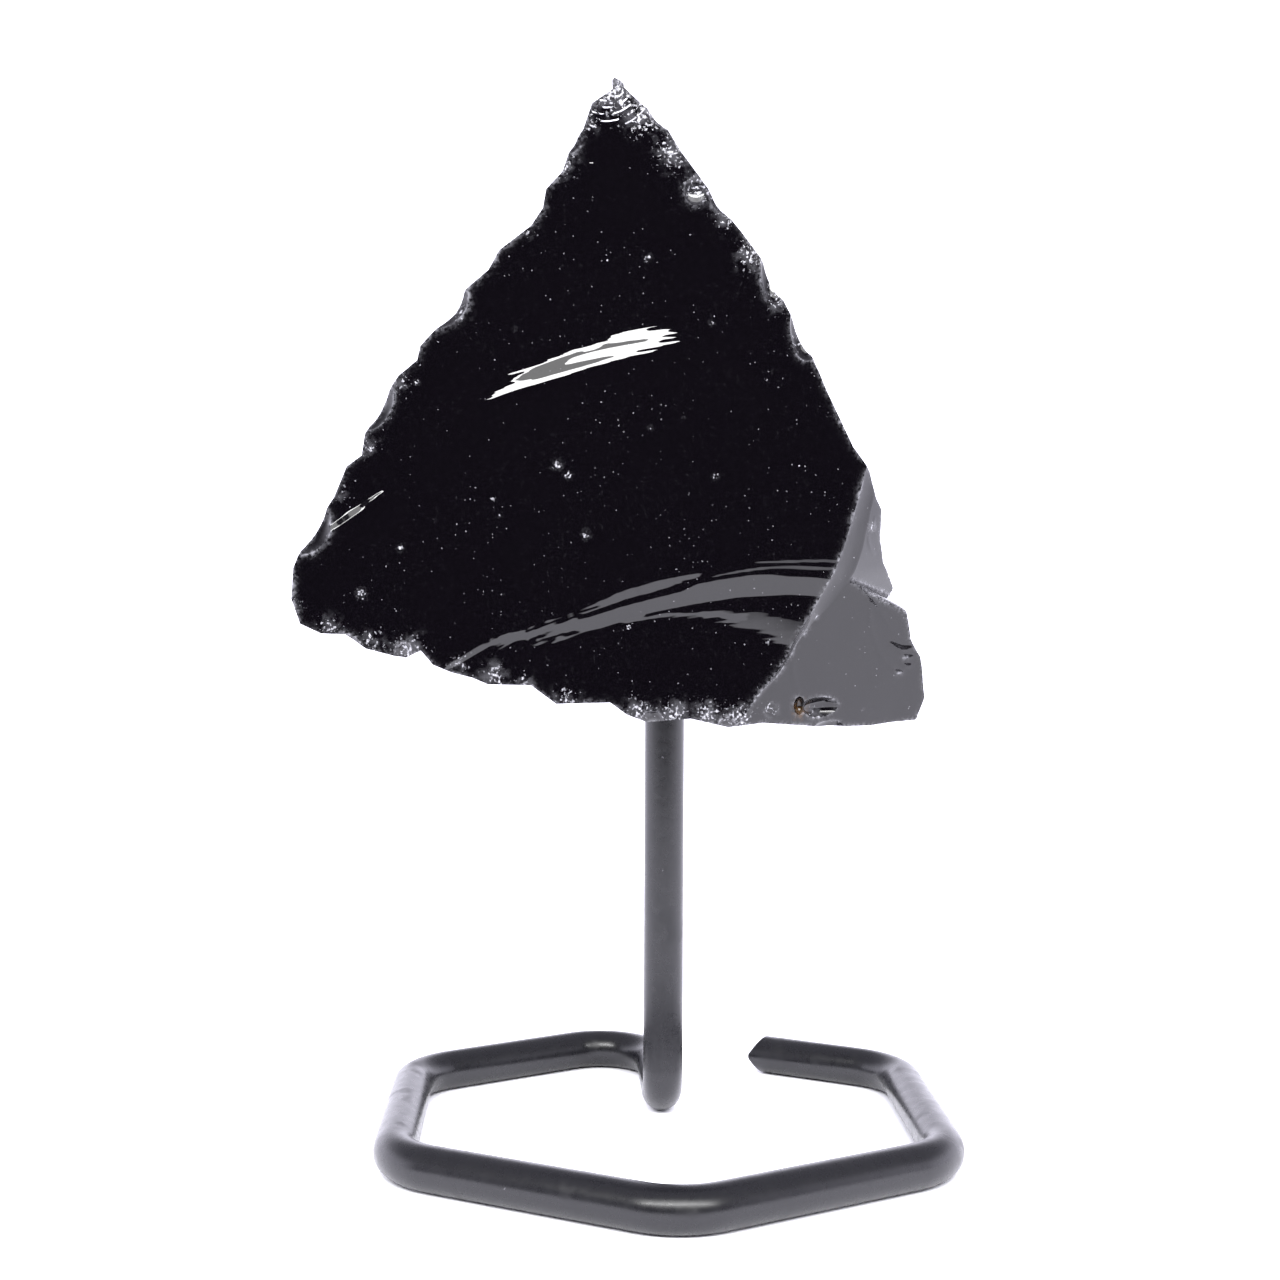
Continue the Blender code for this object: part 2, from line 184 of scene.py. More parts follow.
# %% [markdown]
# Side cutters parted the rod, and they leave a blunt edge: the jaws press a slope into the top and one into
# the underside. Two bisects near the tip cut those slopes, and a small bevel rounds them as the coating does.

# %% Pinch the cut end
bpy.ops.object.mode_set(mode="EDIT")
bpy.ops.mesh.select_mode(type="FACE")
for up in (0.545, -0.545):
    bpy.ops.mesh.select_all(action="DESELECT")
    shape = bmesh.from_edit_mesh(rod.data)
    for face in shape.faces:
        spots = [v.co - at(*CUT_END) for v in face.verts]
        face.select_set(min(s.length for s in spots) < 3.0 * MM)
    shape.select_flush(True)
    bpy.ops.mesh.bisect(
        plane_co=at(*CUT_END),
        plane_no=-first_way * 0.838 + Vector((0, 0, up)),
        use_fill=True,
        clear_outer=True,
    )
bpy.ops.mesh.select_all(action="DESELECT")
bpy.ops.mesh.select_mode(type="EDGE")
shape = bmesh.from_edit_mesh(rod.data)
for edge in shape.edges:
    near = all((v.co - at(*CUT_END)).length < 3.0 * MM for v in edge.verts)
    edge.select_set(near and edge.calc_face_angle(0) > 0.5)
bpy.ops.mesh.bevel(offset=0.22 * MM, offset_type="OFFSET", segments=3, clamp_overlap=True)
bpy.ops.object.mode_set(mode="OBJECT")
face_outwards(rod)
bpy.ops.object.shade_smooth_by_angle(angle=math.radians(50))
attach(rod, "root")
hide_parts("stand_rod")

# %% [markdown]
# ## The stone
# Volcanic glass has no grain, so it breaks as thick window glass does. Every face is the scar of one blow: a
# shallow hollow with ripples that circle the place where the blow landed. The broad front is one such
# fracture. The stone starts as its outline seen from the front, drawn back towards a ridge behind, because
# the edge all round the front face is thin and sharp. Flakes are then struck off the back, and the front is
# cut last.

# %% The outline and the front fracture
OUTLINE = [
    (-4.6, 98.6), (-3.5, 98.0), (-2.1, 96.2), (-0.1, 94.6), (1.7, 91.6), (4.1, 88.3), (4.9, 87.0),
    (7.1, 84.3), (8.2, 82.8), (9.2, 81.4), (10.0, 79.7), (13.5, 72.9), (14.7, 69.9), (17.1, 64.7),
    (18.6, 62.5), (19.2, 60.1), (19.7, 59.1), (19.6, 56.5), (19.9, 54.3), (21.1, 51.9), (21.4, 51.3),
    (21.7, 50.3), (22.4, 47.4), (23.3, 45.8), (23.7, 42.0), (23.0, 39.8), (14.3, 39.4), (8.8, 39.8),
    (5.7, 39.4), (2.3, 40.2), (-1.7, 39.9), (-3.5, 40.6), (-5.0, 41.7), (-9.9, 41.6),
    (-12.2, 43.3), (-16.1, 43.4), (-17.5, 44.0), (-19.4, 44.5), (-21.1, 45.2), (-22.2, 46.5),
    (-23.8, 45.8), (-27.2, 46.7),
    (-29.1, 48.0), (-31.3, 48.1), (-33.2, 49.0), (-34.0, 51.3), (-33.8, 54.1), (-32.9, 56.3),
    (-30.1, 60.5), (-28.9, 63.3), (-27.5, 64.3), (-27.2, 66.2), (-25.7, 69.2), (-24.1, 71.5),
    (-22.4, 72.9), (-22.1, 74.2), (-19.1, 77.4), (-18.0, 79.3), (-15.9, 81.1), (-14.9, 82.9),
    (-12.0, 85.1), (-10.9, 86.7), (-10.6, 88.4), (-9.1, 90.0), (-8.4, 92.1), (-7.2, 93.8), (-6.4, 96.1),
]
BLOW_X, BLOW_Z = 10.2, 1.15
# The outline is as seen from this eye, at the depth where the front face lies
EYE = Vector((0.0, -160.8, 47.4))
SEEN_AT = -14.0

# The splinter's strip at the lower right: the x of its left and right edge, and its depth at the right edge,
# at a few heights
STRIP_LEFT = [
    (37.0, 4.9), (41.5, 7.7), (44.9, 10.4), (47.6, 11.8), (49.0, 12.7), (51.9, 14.4), (54.0, 15.5),
    (59.2, 17.2), (62.8, 18.2), (68.0, 19.7),
]
STRIP_RIGHT = [
    (37.0, 5.4), (41.4, 8.3), (45.6, 11.2), (47.4, 12.3), (49.0, 13.6), (50.4, 15.0), (52.2, 16.4),
    (54.0, 17.5), (57.4, 18.4), (62.3, 19.5), (68.0, 20.9),
]
STRIP_DEPTH = [
    (37.0, -14.55), (41.4, -14.48), (45.6, -14.1), (49.0, -13.85), (53.1, -13.2), (57.4, -13.3),
    (62.3, -13.2), (68.0, -13.0),
]
LOW_BREAK_SLOPE = 0.453
HIGH_BREAK_SLOPE = 1.28

# Coarse shape of the front: distance from the blow, depth
FACE_SWEEP = [
    (0.0, -14.2), (30.0, -14.5), (40.0, -14.75), (50.0, -14.9), (60.0, -14.85), (70.0, -14.65),
    (80.0, -14.4), (90.0, -14.2), (100.0, -14.05), (130.0, -13.6),
]


def between(table, where):
    """A smooth reading between the rows of a small table."""
    last = len(table) - 1
    for i, ((a, ya), (b, yb)) in enumerate(zip(table, table[1:])):
        if where <= b or i == last - 1:
            t = min(1.0, max(0.0, (where - a) / (b - a)))
            before = table[max(0, i - 1)]
            after = table[min(last, i + 2)]
            slope_a = (yb - before[1]) / (b - before[0])
            slope_b = (after[1] - ya) / (after[0] - a)
            h = b - a
            return (
                ya * (2 * t**3 - 3 * t**2 + 1)
                + yb * (3 * t**2 - 2 * t**3)
                + slope_a * h * (t**3 - 2 * t**2 + t)
                + slope_b * h * (t**3 - t**2)
            )


def right_depth(x, z):
    """Depth of the broken right side: the strip, then the wide low break or the steep high one."""
    left, right = between(STRIP_LEFT, z), between(STRIP_RIGHT, z)
    foot = between(STRIP_DEPTH, z)
    if x < left:
        return -20.0
    if x < right:
        front_here = between(FACE_SWEEP, math.hypot(left - BLOW_X, z - BLOW_Z)) - 0.06
        u = (x - left) / (right - left)
        return front_here + (foot - front_here) * (1.3 * u - 0.3 * u * u)
    step = 52.95 - 0.3 * (x - 17.2)
    wide = 0.45 + 0.22 * max(0.0, x - 17.2)
    rise = max(0.0, min(1.0, (z - step + wide) / wide))
    slope = LOW_BREAK_SLOPE + (HIGH_BREAK_SLOPE - LOW_BREAK_SLOPE) * rise * rise * (3 - 2 * rise)
    return foot + slope * (x - right)


def face_depth(x, z):
    return max(between(FACE_SWEEP, math.hypot(x - BLOW_X, z - BLOW_Z)), right_depth(x, z))


def in_sight(x, z):
    """An outline point, pushed out along its line of sight to where the face really lies."""
    depth = face_depth(x, z)
    stretch = (depth - EYE.y) / (SEEN_AT - EYE.y)
    return Vector((EYE.x + (x - EYE.x) * stretch, depth, EYE.z + (z - EYE.z) * stretch))


# %% The blank
BACK_DEPTH = 9.5
BACK_X = 0.5
# Share of the depth, share of the width, height it narrows to, and how often the outline is smoothed there
TAPER = [
    (0.13, 0.91, 49.4, 1),
    (0.34, 0.77, 48.9, 4),
    (0.58, 0.60, 48.9, 10),
    (0.80, 0.41, 49.4, 20),
    (0.94, 0.25, 49.9, 30),
    (1.0, 0.12, 50.4, 30),
]
RIM = 0.35


def smoothed(points, times):
    for _ in range(times):
        shifted = zip(points[-1:] + points[:-1], points, points[1:] + points[:1])
        points = [(a + b * 2 + c) / 4 for a, b, c in shifted]
    return points


def shape_ring(places):
    """Put the selected ring's points at these places, in order."""
    shape = bmesh.from_edit_mesh(bpy.context.edit_object.data)
    ring = sorted((v for v in shape.verts if v.select), key=lambda v: v.index)
    for v, place in zip(ring, places):
        v.co = at(*place)
    bmesh.update_edit_mesh(bpy.context.edit_object.data)


edge_ring = [in_sight(x, z) + Vector((0, RIM, 0)) for x, z in OUTLINE]
rings = [[Vector((p.x, -20.0, p.z)) for p in edge_ring], edge_ring]
for deep, wide, level, times in TAPER:
    ring = []
    for p in smoothed(edge_ring, times):
        x = BACK_X + (p.x - BACK_X) * wide
        y = p.y + (BACK_DEPTH - p.y) * deep
        z = level + (p.z - level) * wide
        bump = noise.noise(Vector((x, y, z)) * 0.09) * 1.6 * min(1.0, deep * 3)
        ring.append(Vector((x, y + bump, z)))
    rings.append(ring)

bpy.ops.object.select_all(action="DESELECT")
bpy.ops.mesh.primitive_circle_add(vertices=len(OUTLINE), radius=30 * MM, fill_type="NGON")
stone = bpy.context.object
stone.name = "broken_glass_stone"
bpy.ops.object.mode_set(mode="EDIT")
bpy.ops.mesh.select_all(action="SELECT")
shape_ring(rings[0])
bpy.ops.mesh.duplicate()
for ring in rings[1:]:
    bpy.ops.mesh.extrude_region_move(TRANSFORM_OT_translate={"value": (0, MM, 0)})
    shape_ring(ring)
bpy.ops.mesh.select_all(action="SELECT")
bpy.ops.mesh.remove_doubles(threshold=1e-6)
bpy.ops.mesh.quads_convert_to_tris()
bpy.ops.mesh.subdivide(number_cuts=3)
bpy.ops.object.mode_set(mode="OBJECT")
face_outwards(stone)
for v in stone.data.vertices:
    spot = v.co / MM - POST_FOOT
    deep = max(0.0, min(1.0, (spot.y + 12) / 4))
    swell = 0.5 * noise.noise(spot * 0.16) + 0.12 * noise.noise(spot * 0.5)
    v.co += v.normal * swell * deep * MM
print("blank", len(stone.data.polygons), "faces", [round(1000 * s, 1) for s in stone.dimensions])

# %% [markdown]
# ## Flakes off the back
# Each flake scar is a squashed ball taken out of the blank. The ball is laid over the surface where a ray
# from the stone's middle comes out, so one number says how deep it bites. Its skin is rippled first, in rings
# round the place of the blow at its near end, because the scar keeps those rings.

# %% Striking flakes
HEART = Vector((0.5, -7.0, 53.5))
FLAKES = [
    ("back_flake_left", (-1.0, 0.9, 0.25), 0.3, 44, 26, 24, 2.6),
    ("back_flake_right", (1.0, 0.9, 0.35), -0.3, 46, 26, 26, 2.6),
    ("back_flake_top", (-0.15, 0.75, 1.0), 0.1, 34, 24, 20, 2.4),
    ("back_flake_low", (-0.75, 0.9, -0.35), 0.9, 30, 22, 18, 2.2),
    ("back_flake_mid", (0.45, 1.1, -0.15), -0.9, 26, 20, 16, 1.6),
    ("under_flake_left", (-0.9, 0.35, -0.62), 0.2, 26, 20, 18, 1.8),
    ("under_flake_right", (0.9, 0.55, -0.75), -0.2, 24, 20, 18, 1.8),
    ("left_flake_high", (-0.75, 0.35, 0.95), 0.7, 20, 13, 12, 1.5),
    ("left_flake_mid", (-1.1, 0.35, 0.45), 0.9, 17, 12, 10, 1.4),
    ("left_flake_low", (-1.3, 0.3, 0.05), 1.3, 15, 12, 9, 1.4),
    ("right_flake_high", (0.45, 0.4, 1.0), -0.7, 19, 13, 12, 1.4),
    ("right_flake_mid", (0.85, 0.45, 0.6), -0.9, 16, 11, 10, 1.3),
    ("right_flake_low", (1.0, 0.5, 0.1), -1.2, 14, 11, 9, 1.3),
    ("back_ridge_chip", (-0.05, 1.1, 0.2), 0.4, 10, 8, 6, 1.1),
    ("back_foot_chip", (0.25, 1.0, -0.75), 0.2, 11, 8, 7, 1.1),
    ("back_tip_chip", (-0.2, 0.42, 1.3), 0.0, 10, 7, 7, 0.9),
]


def surface_of(piece):
    """The piece's surface in millimetres from the post's foot, ready for rays."""
    shape = bmesh.new()
    shape.from_mesh(piece.data)
    bmesh.ops.scale(shape, vec=(1000, 1000, 1000), verts=shape.verts)
    bmesh.ops.translate(shape, vec=-POST_FOOT, verts=shape.verts)
    surface = BVHTree.FromBMesh(shape)
    shape.free()
    return surface


def take_off(piece, cutter, solver="MANIFOLD"):
    """Cut the cutter's shape out of the piece, then throw the cutter away."""
    step = piece.modifiers.new("struck_off", "BOOLEAN")
    step.operation = "DIFFERENCE"
    step.solver = solver
    step.object = cutter
    select_only(piece)
    bpy.ops.object.modifier_apply(modifier=step.name)
    waste = cutter.data
    bpy.data.objects.remove(cutter)
    bpy.data.meshes.remove(waste)


def extrude_forward(sheet, length):
    """Turn an open sheet into a closed cutter that reaches this far towards the front."""
    select_only(sheet)
    bpy.ops.object.mode_set(mode="EDIT")
    bpy.ops.mesh.select_mode(type="VERT")
    bpy.ops.mesh.select_all(action="SELECT")
    bpy.ops.mesh.extrude_region_move(TRANSFORM_OT_translate={"value": (0, -length * MM, 0)})
    bpy.ops.object.mode_set(mode="OBJECT")
    face_outwards(sheet)


def squashed_ball(name, centre, turn, radii, subdivisions, ripple=0.0, seed=0.0):
    """A ball with these radii in millimetres, rippled in rings about a place low on its under side."""
    bpy.ops.object.select_all(action="DESELECT")
    bpy.ops.mesh.primitive_ico_sphere_add(subdivisions=subdivisions, radius=1.0)
    ball = bpy.context.object
    ball.name = name
    across, along, deep = radii
    reach = 0.34
    blow = Vector((0, -along * reach, -deep))
    for v in ball.data.vertices:
        place = Vector((v.co.x * across, v.co.y * along, v.co.z * deep))
        if ripple:
            away = (place - blow).length
            drift = noise.noise(place * 0.16 + Vector((seed, 0, 0)))
            rings = math.sin(away * 1.9 / (1 + away * 0.035) + drift * 2.5)
            rough = noise.noise(place * 0.3 + Vector((0, seed, 0)))
            place += v.co.normalized() * (ripple * rings * math.exp(-away / 30) + rough * ripple * 2)
        v.co = place * MM
    ball.rotation_mode = "QUATERNION"
    ball.rotation_quaternion = turn
    ball.location = at(*centre)
    settle(ball)
    return ball


blank_surface = surface_of(stone)
for number, (name, way, swing, along, across, deep, bite) in enumerate(FLAKES):
    place, normal, _, _ = blank_surface.ray_cast(HEART, Vector(way))
    turn = normal.to_track_quat("Z", "Y") @ Matrix.Rotation(swing, 3, "Z").to_quaternion()
    level = 6 if along > 20 else 5
    radii = (across, along, deep)
    ball = squashed_ball(
        name, place + normal * (deep - bite), turn, radii, level, ripple=0.045, seed=number * 7.3
    )
    take_off(stone, ball)
print("struck off", len(FLAKES), "flakes, leaving", len(stone.data.polygons), "faces")

# %% Smaller flakes over the first ones
SMALL_FLAKES = 34
flake_dice = random.Random(23)
struck = surface_of(stone)
made = 0
for number in range(SMALL_FLAKES):
    turned = math.radians(-62 + 304 * (number + flake_dice.random()) / SMALL_FLAKES)
    way = Vector((math.cos(turned), flake_dice.uniform(0.25, 1.1), math.sin(turned) * 1.1))
    place, normal, _, _ = struck.ray_cast(HEART, way)
    if place.y < -11.5:
        continue
    size = flake_dice.uniform(5.0, 13.0)
    lean_out = (normal + Vector((way.x, 0.2, way.z)).normalized() * 0.25).normalized()
    spin = Matrix.Rotation(flake_dice.uniform(0, 6.28), 3, "Z").to_quaternion()
    turn = lean_out.to_track_quat("Z", "Y") @ spin
    radii = (size * flake_dice.uniform(0.7, 0.95), size, size * 0.75)
    bite = size * flake_dice.uniform(0.05, 0.085)
    centre = place + lean_out * (radii[2] - bite)
    take_off(stone, squashed_ball("small_flake", centre, turn, radii, 5, ripple=0.03, seed=number * 3.1))
    made += 1
print("struck off", made, "smaller ones, leaving", len(stone.data.polygons), "faces")


# %% [markdown]
# ## The front fracture
# The front face decides how the stone looks, because glass shows only what it mirrors. A tilt of a few
# degrees is the difference between the dark behind the camera and the pale table, so the cutter is worked out
# from tilts: each ripple says how many degrees it leans and where, and adding those leans up along a line
# from the blow gives the depth. The grid is fine only where the ripples are.

# %% Ripples as tilts
# Each ripple is a band: how far it leans, how soft its sides are, and its lower and upper distance from the
# blow at a few directions, in degrees round the blow from the right
RIPPLES = [
    ("broad ripple near the foot", -10.8, 0.10, [
        (83, 50.15, 51.9), (88.6, 50.3, 51.95), (93, 50.2, 52.05), (97, 50.1, 51.85),
        (100, 50.05, 51.3), (104, 50.0, 51.2), (109, 50.2, 51.25), (114, 51.2, 52.1),
        (117, 52.0, 52.8), (120, 52.65, 53.05), (125, 52.9, 53.1),
    ]),
    ("torn tongue above it", -10.4, 0.08, [
        (98, 52.45, 52.65), (100.6, 52.0, 52.75), (103.5, 51.75, 52.6), (106, 51.7, 52.5),
        (108.5, 51.7, 52.2), (111, 52.05, 52.2), (113, 52.5, 52.55),
    ]),
    ("hair line", -10.0, 0.06, [
        (83, 52.7, 53.0), (91.4, 52.5, 52.82), (94, 52.3, 52.58), (97.5, 52.15, 52.25),
    ]),
    ("thin lens over the hair line", -10.0, 0.06, [
        (83, 53.35, 53.75), (88.7, 53.15, 53.42), (91.4, 53.1, 53.3), (95, 53.1, 53.14),
    ]),
    ("second ripple, its bright left end", -10.0, 0.06, [
        (94, 48.0, 48.5), (97.4, 48.8, 49.12), (101.7, 49.38, 49.62), (106, 49.82, 50.04),
        (112, 50.2, 50.38), (117, 51.5, 51.55),
    ]),
    ("second ripple, its dim right end", -5.6, 0.3, [
        (82, 43.6, 46.2), (86, 44.4, 47.2), (89, 45.6, 48.0), (91.5, 46.7, 48.5), (94.5, 47.8, 49.0),
        (97.4, 48.9, 49.2),
    ]),
    ("third ripple, faint", -5.3, 0.3, [
        (80, 41.0, 42.2), (86, 43.0, 43.5), (90, 44.0, 44.2),
    ]),
    ("small streak at the left", 19.3, 0.1, [
        (120.6, 69.75, 69.85), (122.1, 69.3, 69.8), (124.3, 69.25, 69.85), (126.8, 69.5, 69.65),
    ]),
    ("faint line at the right", -10.4, 0.05, [(85, 73.2, 73.38), (89, 73.1, 73.25), (91, 73.2, 73.22)]),
]
STREAK = [
    (97.4, 73.7, 75.4), (98.5, 73.25, 75.55), (101, 73.0, 75.5), (102.7, 72.85, 75.0),
    (105.2, 72.7, 75.05), (108.1, 72.75, 74.5), (111.2, 72.8, 73.1),
]
STREAK_LEAN = 11.2
STREAK_CORE_LEAN = 5.5


def window(value, low, high, soft_low, soft_high):
    """1 between low and high, falling smoothly to 0 over the soft widths outside them."""
    if value < low:
        t = min(1.0, (low - value) / soft_low)
    elif value > high:
        t = min(1.0, (value - high) / soft_high)
    else:
        t = 0.0
    return 1 - t * t * (3 - 2 * t)


def band(table, turn):
    """A band's lower and upper distance in this direction, or None beyond its ends."""
    if not table[0][0] <= turn <= table[-1][0]:
        return None
    for (a, low_a, high_a), (b, low_b, high_b) in zip(table, table[1:]):
        if turn <= b:
            t = (turn - a) / (b - a)
            return low_a + (low_b - low_a) * t, high_a + (high_b - high_a) * t


def lean(away, turn):
    """Tilt of the front at a distance from the blow and a direction in degrees: upwards is positive."""
    strands = noise.noise(Vector((away * 2.4, turn * 0.10, 0.0)))
    fine = noise.noise(Vector((away * 6.0, turn * 0.18, 5.0)))
    broad = noise.noise(Vector((away * 0.5, turn * 0.06, 9.0)))
    tilt = 0.6 * broad + 0.4 * strands + 0.3 * fine

    for _, degrees, soft, table in RIPPLES:
        # The torn ends run along the ripple, so the direction is shifted by strands before it is looked up
        sides = band(table, turn + 2.2 * fine + 1.2 * strands)
        if sides:
            edge = 0.16 * strands + 0.14 * fine
            tilt += degrees * window(away, sides[0] + edge, sides[1] + edge, soft, soft)

    sides = band(STREAK, turn + 2.4 * fine + 1.6 * strands)
    if sides:
        inside = window(away, sides[0] + 0.05 * fine, sides[1] + 0.12 * fine, 0.06, 0.06)
        core = window(away, sides[0] + 0.55 + 0.3 * fine, sides[1] - 0.6 + 0.3 * fine, 0.2, 0.2)
        core *= window(turn + 5 * strands, 102.2, 107.8, 1.2, 1.2)
        tilt += (STREAK_LEAN + 2.6 * fine) * inside + STREAK_CORE_LEAN * core
    return tilt


# Distances from the blow for the rows of the grid: fine where a ripple is, coarse elsewhere
ROWS = []
step_from, coarse, finest = 32.0, 0.5, 0.1
while step_from < 104.0:
    ROWS.append(step_from)
    near_ripple = 44.0 < step_from < 54.2 or 68.6 < step_from < 76.2
    step_from += finest if near_ripple else coarse
COLUMNS = 260
TURN_FROM, TURN_TO = 66.0, 142.0

# %% Cut the front
bpy.ops.object.select_all(action="DESELECT")
bpy.ops.mesh.primitive_grid_add(
    x_subdivisions=COLUMNS, y_subdivisions=len(ROWS) - 1, size=2.0
)
front = bpy.context.object
front.name = "front_fracture"
depths = {}
for column in range(COLUMNS + 1):
    turn = TURN_FROM + (TURN_TO - TURN_FROM) * column / COLUMNS
    carried = 0.0
    for row, away in enumerate(ROWS):
        if row:
            gap = away - ROWS[row - 1]
            carried += math.tan(math.radians(lean(away, turn))) * gap
            # The leans are evened out slowly, so that the face keeps its coarse shape
            carried *= 1 - 0.055 * gap
        depths[column, row] = between(FACE_SWEEP, away) + carried
for v in front.data.vertices:
    column = round((v.co.x + 1) / 2 * COLUMNS)
    row = round((v.co.y + 1) / 2 * (len(ROWS) - 1))
    turn = math.radians(TURN_FROM + (TURN_TO - TURN_FROM) * column / COLUMNS)
    away = ROWS[row]
    v.co = at(BLOW_X + away * math.cos(turn), depths[column, row], BLOW_Z + away * math.sin(turn))
extrude_forward(front, 12)
take_off(stone, front)
print("front cut with", len(ROWS), "rows, leaving", len(stone.data.polygons), "faces")

# %% [markdown]
# ## The broken right side
# At the lower right a splinter ran up the stone and left a narrow steep strip, and two flat breaks lie beyond
# it: a wide one below and a small steep one above, with a step between them. All three are cut at once with a
# second grid, whose columns follow the strip's two edges so that these stay crisp.

# %% Cut the right side
STRIP_COLUMNS = 10
BREAK_COLUMNS = 90
BREAK_ROWS = 200
# Short feathers on the wide break, where it tore: from, to, half width and height in millimetres
FEATHERS = [
    ((21.0, 46.9), (23.0, 46.4), 0.22, 0.16),
    ((22.0, 46.1), (23.2, 45.6), 0.20, 0.15),
    ((22.1, 45.3), (23.1, 44.8), 0.20, 0.15),
    ((21.2, 44.6), (22.3, 44.2), 0.20, 0.14),
    ((17.9, 52.0), (21.3, 48.7), 0.14, 0.07),
    ((18.9, 50.7), (19.4, 47.3), 0.15, 0.07),
    ((19.4, 47.2), (21.2, 44.6), 0.15, 0.07),
    ((20.0, 49.9), (21.6, 47.7), 0.13, 0.06),
    ((11.6, 46.4), (12.1, 42.6), 0.16, 0.08),
    ((18.6, 57.0), (19.3, 55.2), 0.14, 0.08),
    ((19.2, 58.4), (19.6, 56.8), 0.12, 0.07),
]


def feathered(x, z):
    """How far the feathers stand proud at (x, z)."""
    proud = 0.0
    spot = Vector((x, z))
    for start, end, wide, tall in FEATHERS:
        a, b = Vector(start), Vector(end)
        along = max(0.0, min(1.0, (spot - a).dot(b - a) / (b - a).length_squared))
        bow = Vector((b.y - a.y, a.x - b.x)).normalized() * 0.25 * math.sin(math.pi * along)
        off = (spot - (a + (b - a) * along + bow)).length
        proud += tall * math.exp(-((off / wide) ** 2)) * math.sin(math.pi * (0.15 + 0.7 * along))
    return proud


bpy.ops.object.select_all(action="DESELECT")
bpy.ops.mesh.primitive_grid_add(
    x_subdivisions=STRIP_COLUMNS + BREAK_COLUMNS, y_subdivisions=BREAK_ROWS, size=2.0
)
side = bpy.context.object
side.name = "right_break"
for v in side.data.vertices:
    column = round((v.co.x + 1) / 2 * (STRIP_COLUMNS + BREAK_COLUMNS))
    z = 37.5 + (v.co.y + 1) / 2 * 29.5
    left, right = between(STRIP_LEFT, z), between(STRIP_RIGHT, z)
    if column <= STRIP_COLUMNS:
        x = left + (right - left) * column / STRIP_COLUMNS
    else:
        x = right + (29.0 - right) * ((column - STRIP_COLUMNS) / BREAK_COLUMNS) ** 1.2
    depth = right_depth(x, z)
    if column > STRIP_COLUMNS:
        ease = min(1.0, (x - right) / 0.8)
        wave = noise.noise(Vector((x * 0.35, z * 0.35, 2.0)))
        rings = math.sin(math.hypot(x - 26, z - 40) * 1.5 + 2 * wave)
        depth += ease * (0.05 * wave + 0.012 * rings - feathered(x, z))
    else:
        depth += 0.03 * noise.noise(Vector((x * 1.5, z * 0.6, 4.0))) * min(1.0, column / 2)
    v.co = at(x, depth, z)
extrude_forward(side, 16)
take_off(stone, side)
print("right side cut, leaving", len(stone.data.polygons), "faces")

# %% [markdown]
# ## Scars and chips on the edges
# Where two scars meet the glass is razor thin, and it crumbles when it is handled. The larger scars are placed
# one by one. Chips are then tried all along the outline, from the front and from behind. Each try is a ray that
# starts a little outside the drawn outline, so most of them pass the stone by, and the few that meet glass trim
# the edge where it stands proud.

# %% Named scars
# The larger scars along the edge, as in the solids, and the smaller ones that the photo shows clearly
SCARS = [
    ("tip_scar_left", (-9.6, -15.6, 92.7), (3.4, 2.2, 2.0)),
    ("tip_scar_right", (1.4, -15.0, 95.5), (3.0, 2.4, 2.2)),
    ("tip_flat", (-4.6, -13.0, 99.88), (1.7, 4.0, 1.5)),
    ("left_scar_high", (-21.8, -15.4, 78.5), (4.6, 2.4, 3.4)),
    ("left_scar_mid", (-27.4, -15.6, 69.7), (3.4, 2.2, 3.8)),
    ("left_scar_low", (-33.2, -16.0, 58.5), (3.8, 2.4, 4.0)),
    ("right_scar_high", (7.0, -15.2, 87.9), (3.2, 2.2, 2.8)),
    ("right_scar_mid", (15.6, -15.6, 74.0), (2.6, 2.2, 3.6)),
    ("foot_scar_left", (-25.0, -16.6, 42.7), (5.2, 2.8, 3.4)),
    ("foot_scar_mid", (-12.0, -16.8, 39.7), (4.6, 2.8, 3.6)),
    ("foot_scar_centre", (-3.0, -16.9, 37.9), (4.0, 3.0, 3.2)),
    ("foot_scar_right", (5.2, -16.9, 37.1), (4.6, 3.0, 3.4)),
    ("corner_scar", (16.6, -12.4, 37.1), (4.2, 3.0, 3.4)),
    ("tip_crescent", (-6.5, -15.0, 90.9), (1.5, 1.0, 1.4)),
    ("tip_lobe_high", (-7.9, -14.9, 94.9), (1.3, 1.2, 1.4)),
    ("tip_lobe_low", (-9.5, -15.0, 91.1), (1.4, 1.3, 1.3)),
    ("tip_lobe_side", (-8.9, -14.8, 93.1), (1.2, 1.2, 1.1)),
    ("right_edge_crescent", (3.0, -14.9, 88.0), (1.4, 0.9, 1.7)),
    ("right_edge_bevel_high", (10.1, -14.7, 80.9), (1.3, 1.1, 3.4)),
    ("right_edge_bevel_low", (12.9, -14.9, 75.6), (1.5, 1.2, 3.2)),
    ("foot_lobe_left", (-23.6, -16.0, 46.0), (1.3, 1.7, 1.6)),
    ("foot_lobe_far_left", (-29.4, -16.0, 47.0), (2.6, 1.7, 1.5)),
    ("foot_lobe_mid", (-8.9, -16.3, 40.7), (2.7, 1.9, 1.6)),
    ("foot_lobe_post", (-1.2, -16.1, 39.9), (1.8, 1.7, 1.7)),
    ("foot_lobe_third", (2.6, -16.2, 39.6), (1.6, 1.8, 1.4)),
    ("break_scallop", (15.2, -13.5, 41.0), (3.0, 2.6, 1.5)),
    ("grain_pit", (12.3, -13.3, 41.2), (0.6, 1.3, 1.0)),
    ("foot_lobe_fourth", (5.6, -16.0, 39.4), (1.5, 1.6, 1.5)),
]
on_end = Matrix.Rotation(math.radians(90), 3, "X").to_quaternion()
for number, (name, centre, (across, thick, tall)) in enumerate(SCARS):
    ball = squashed_ball(name, centre, on_end, (across, tall, thick), 5, ripple=0.02, seed=number * 5.1)
    take_off(stone, ball)
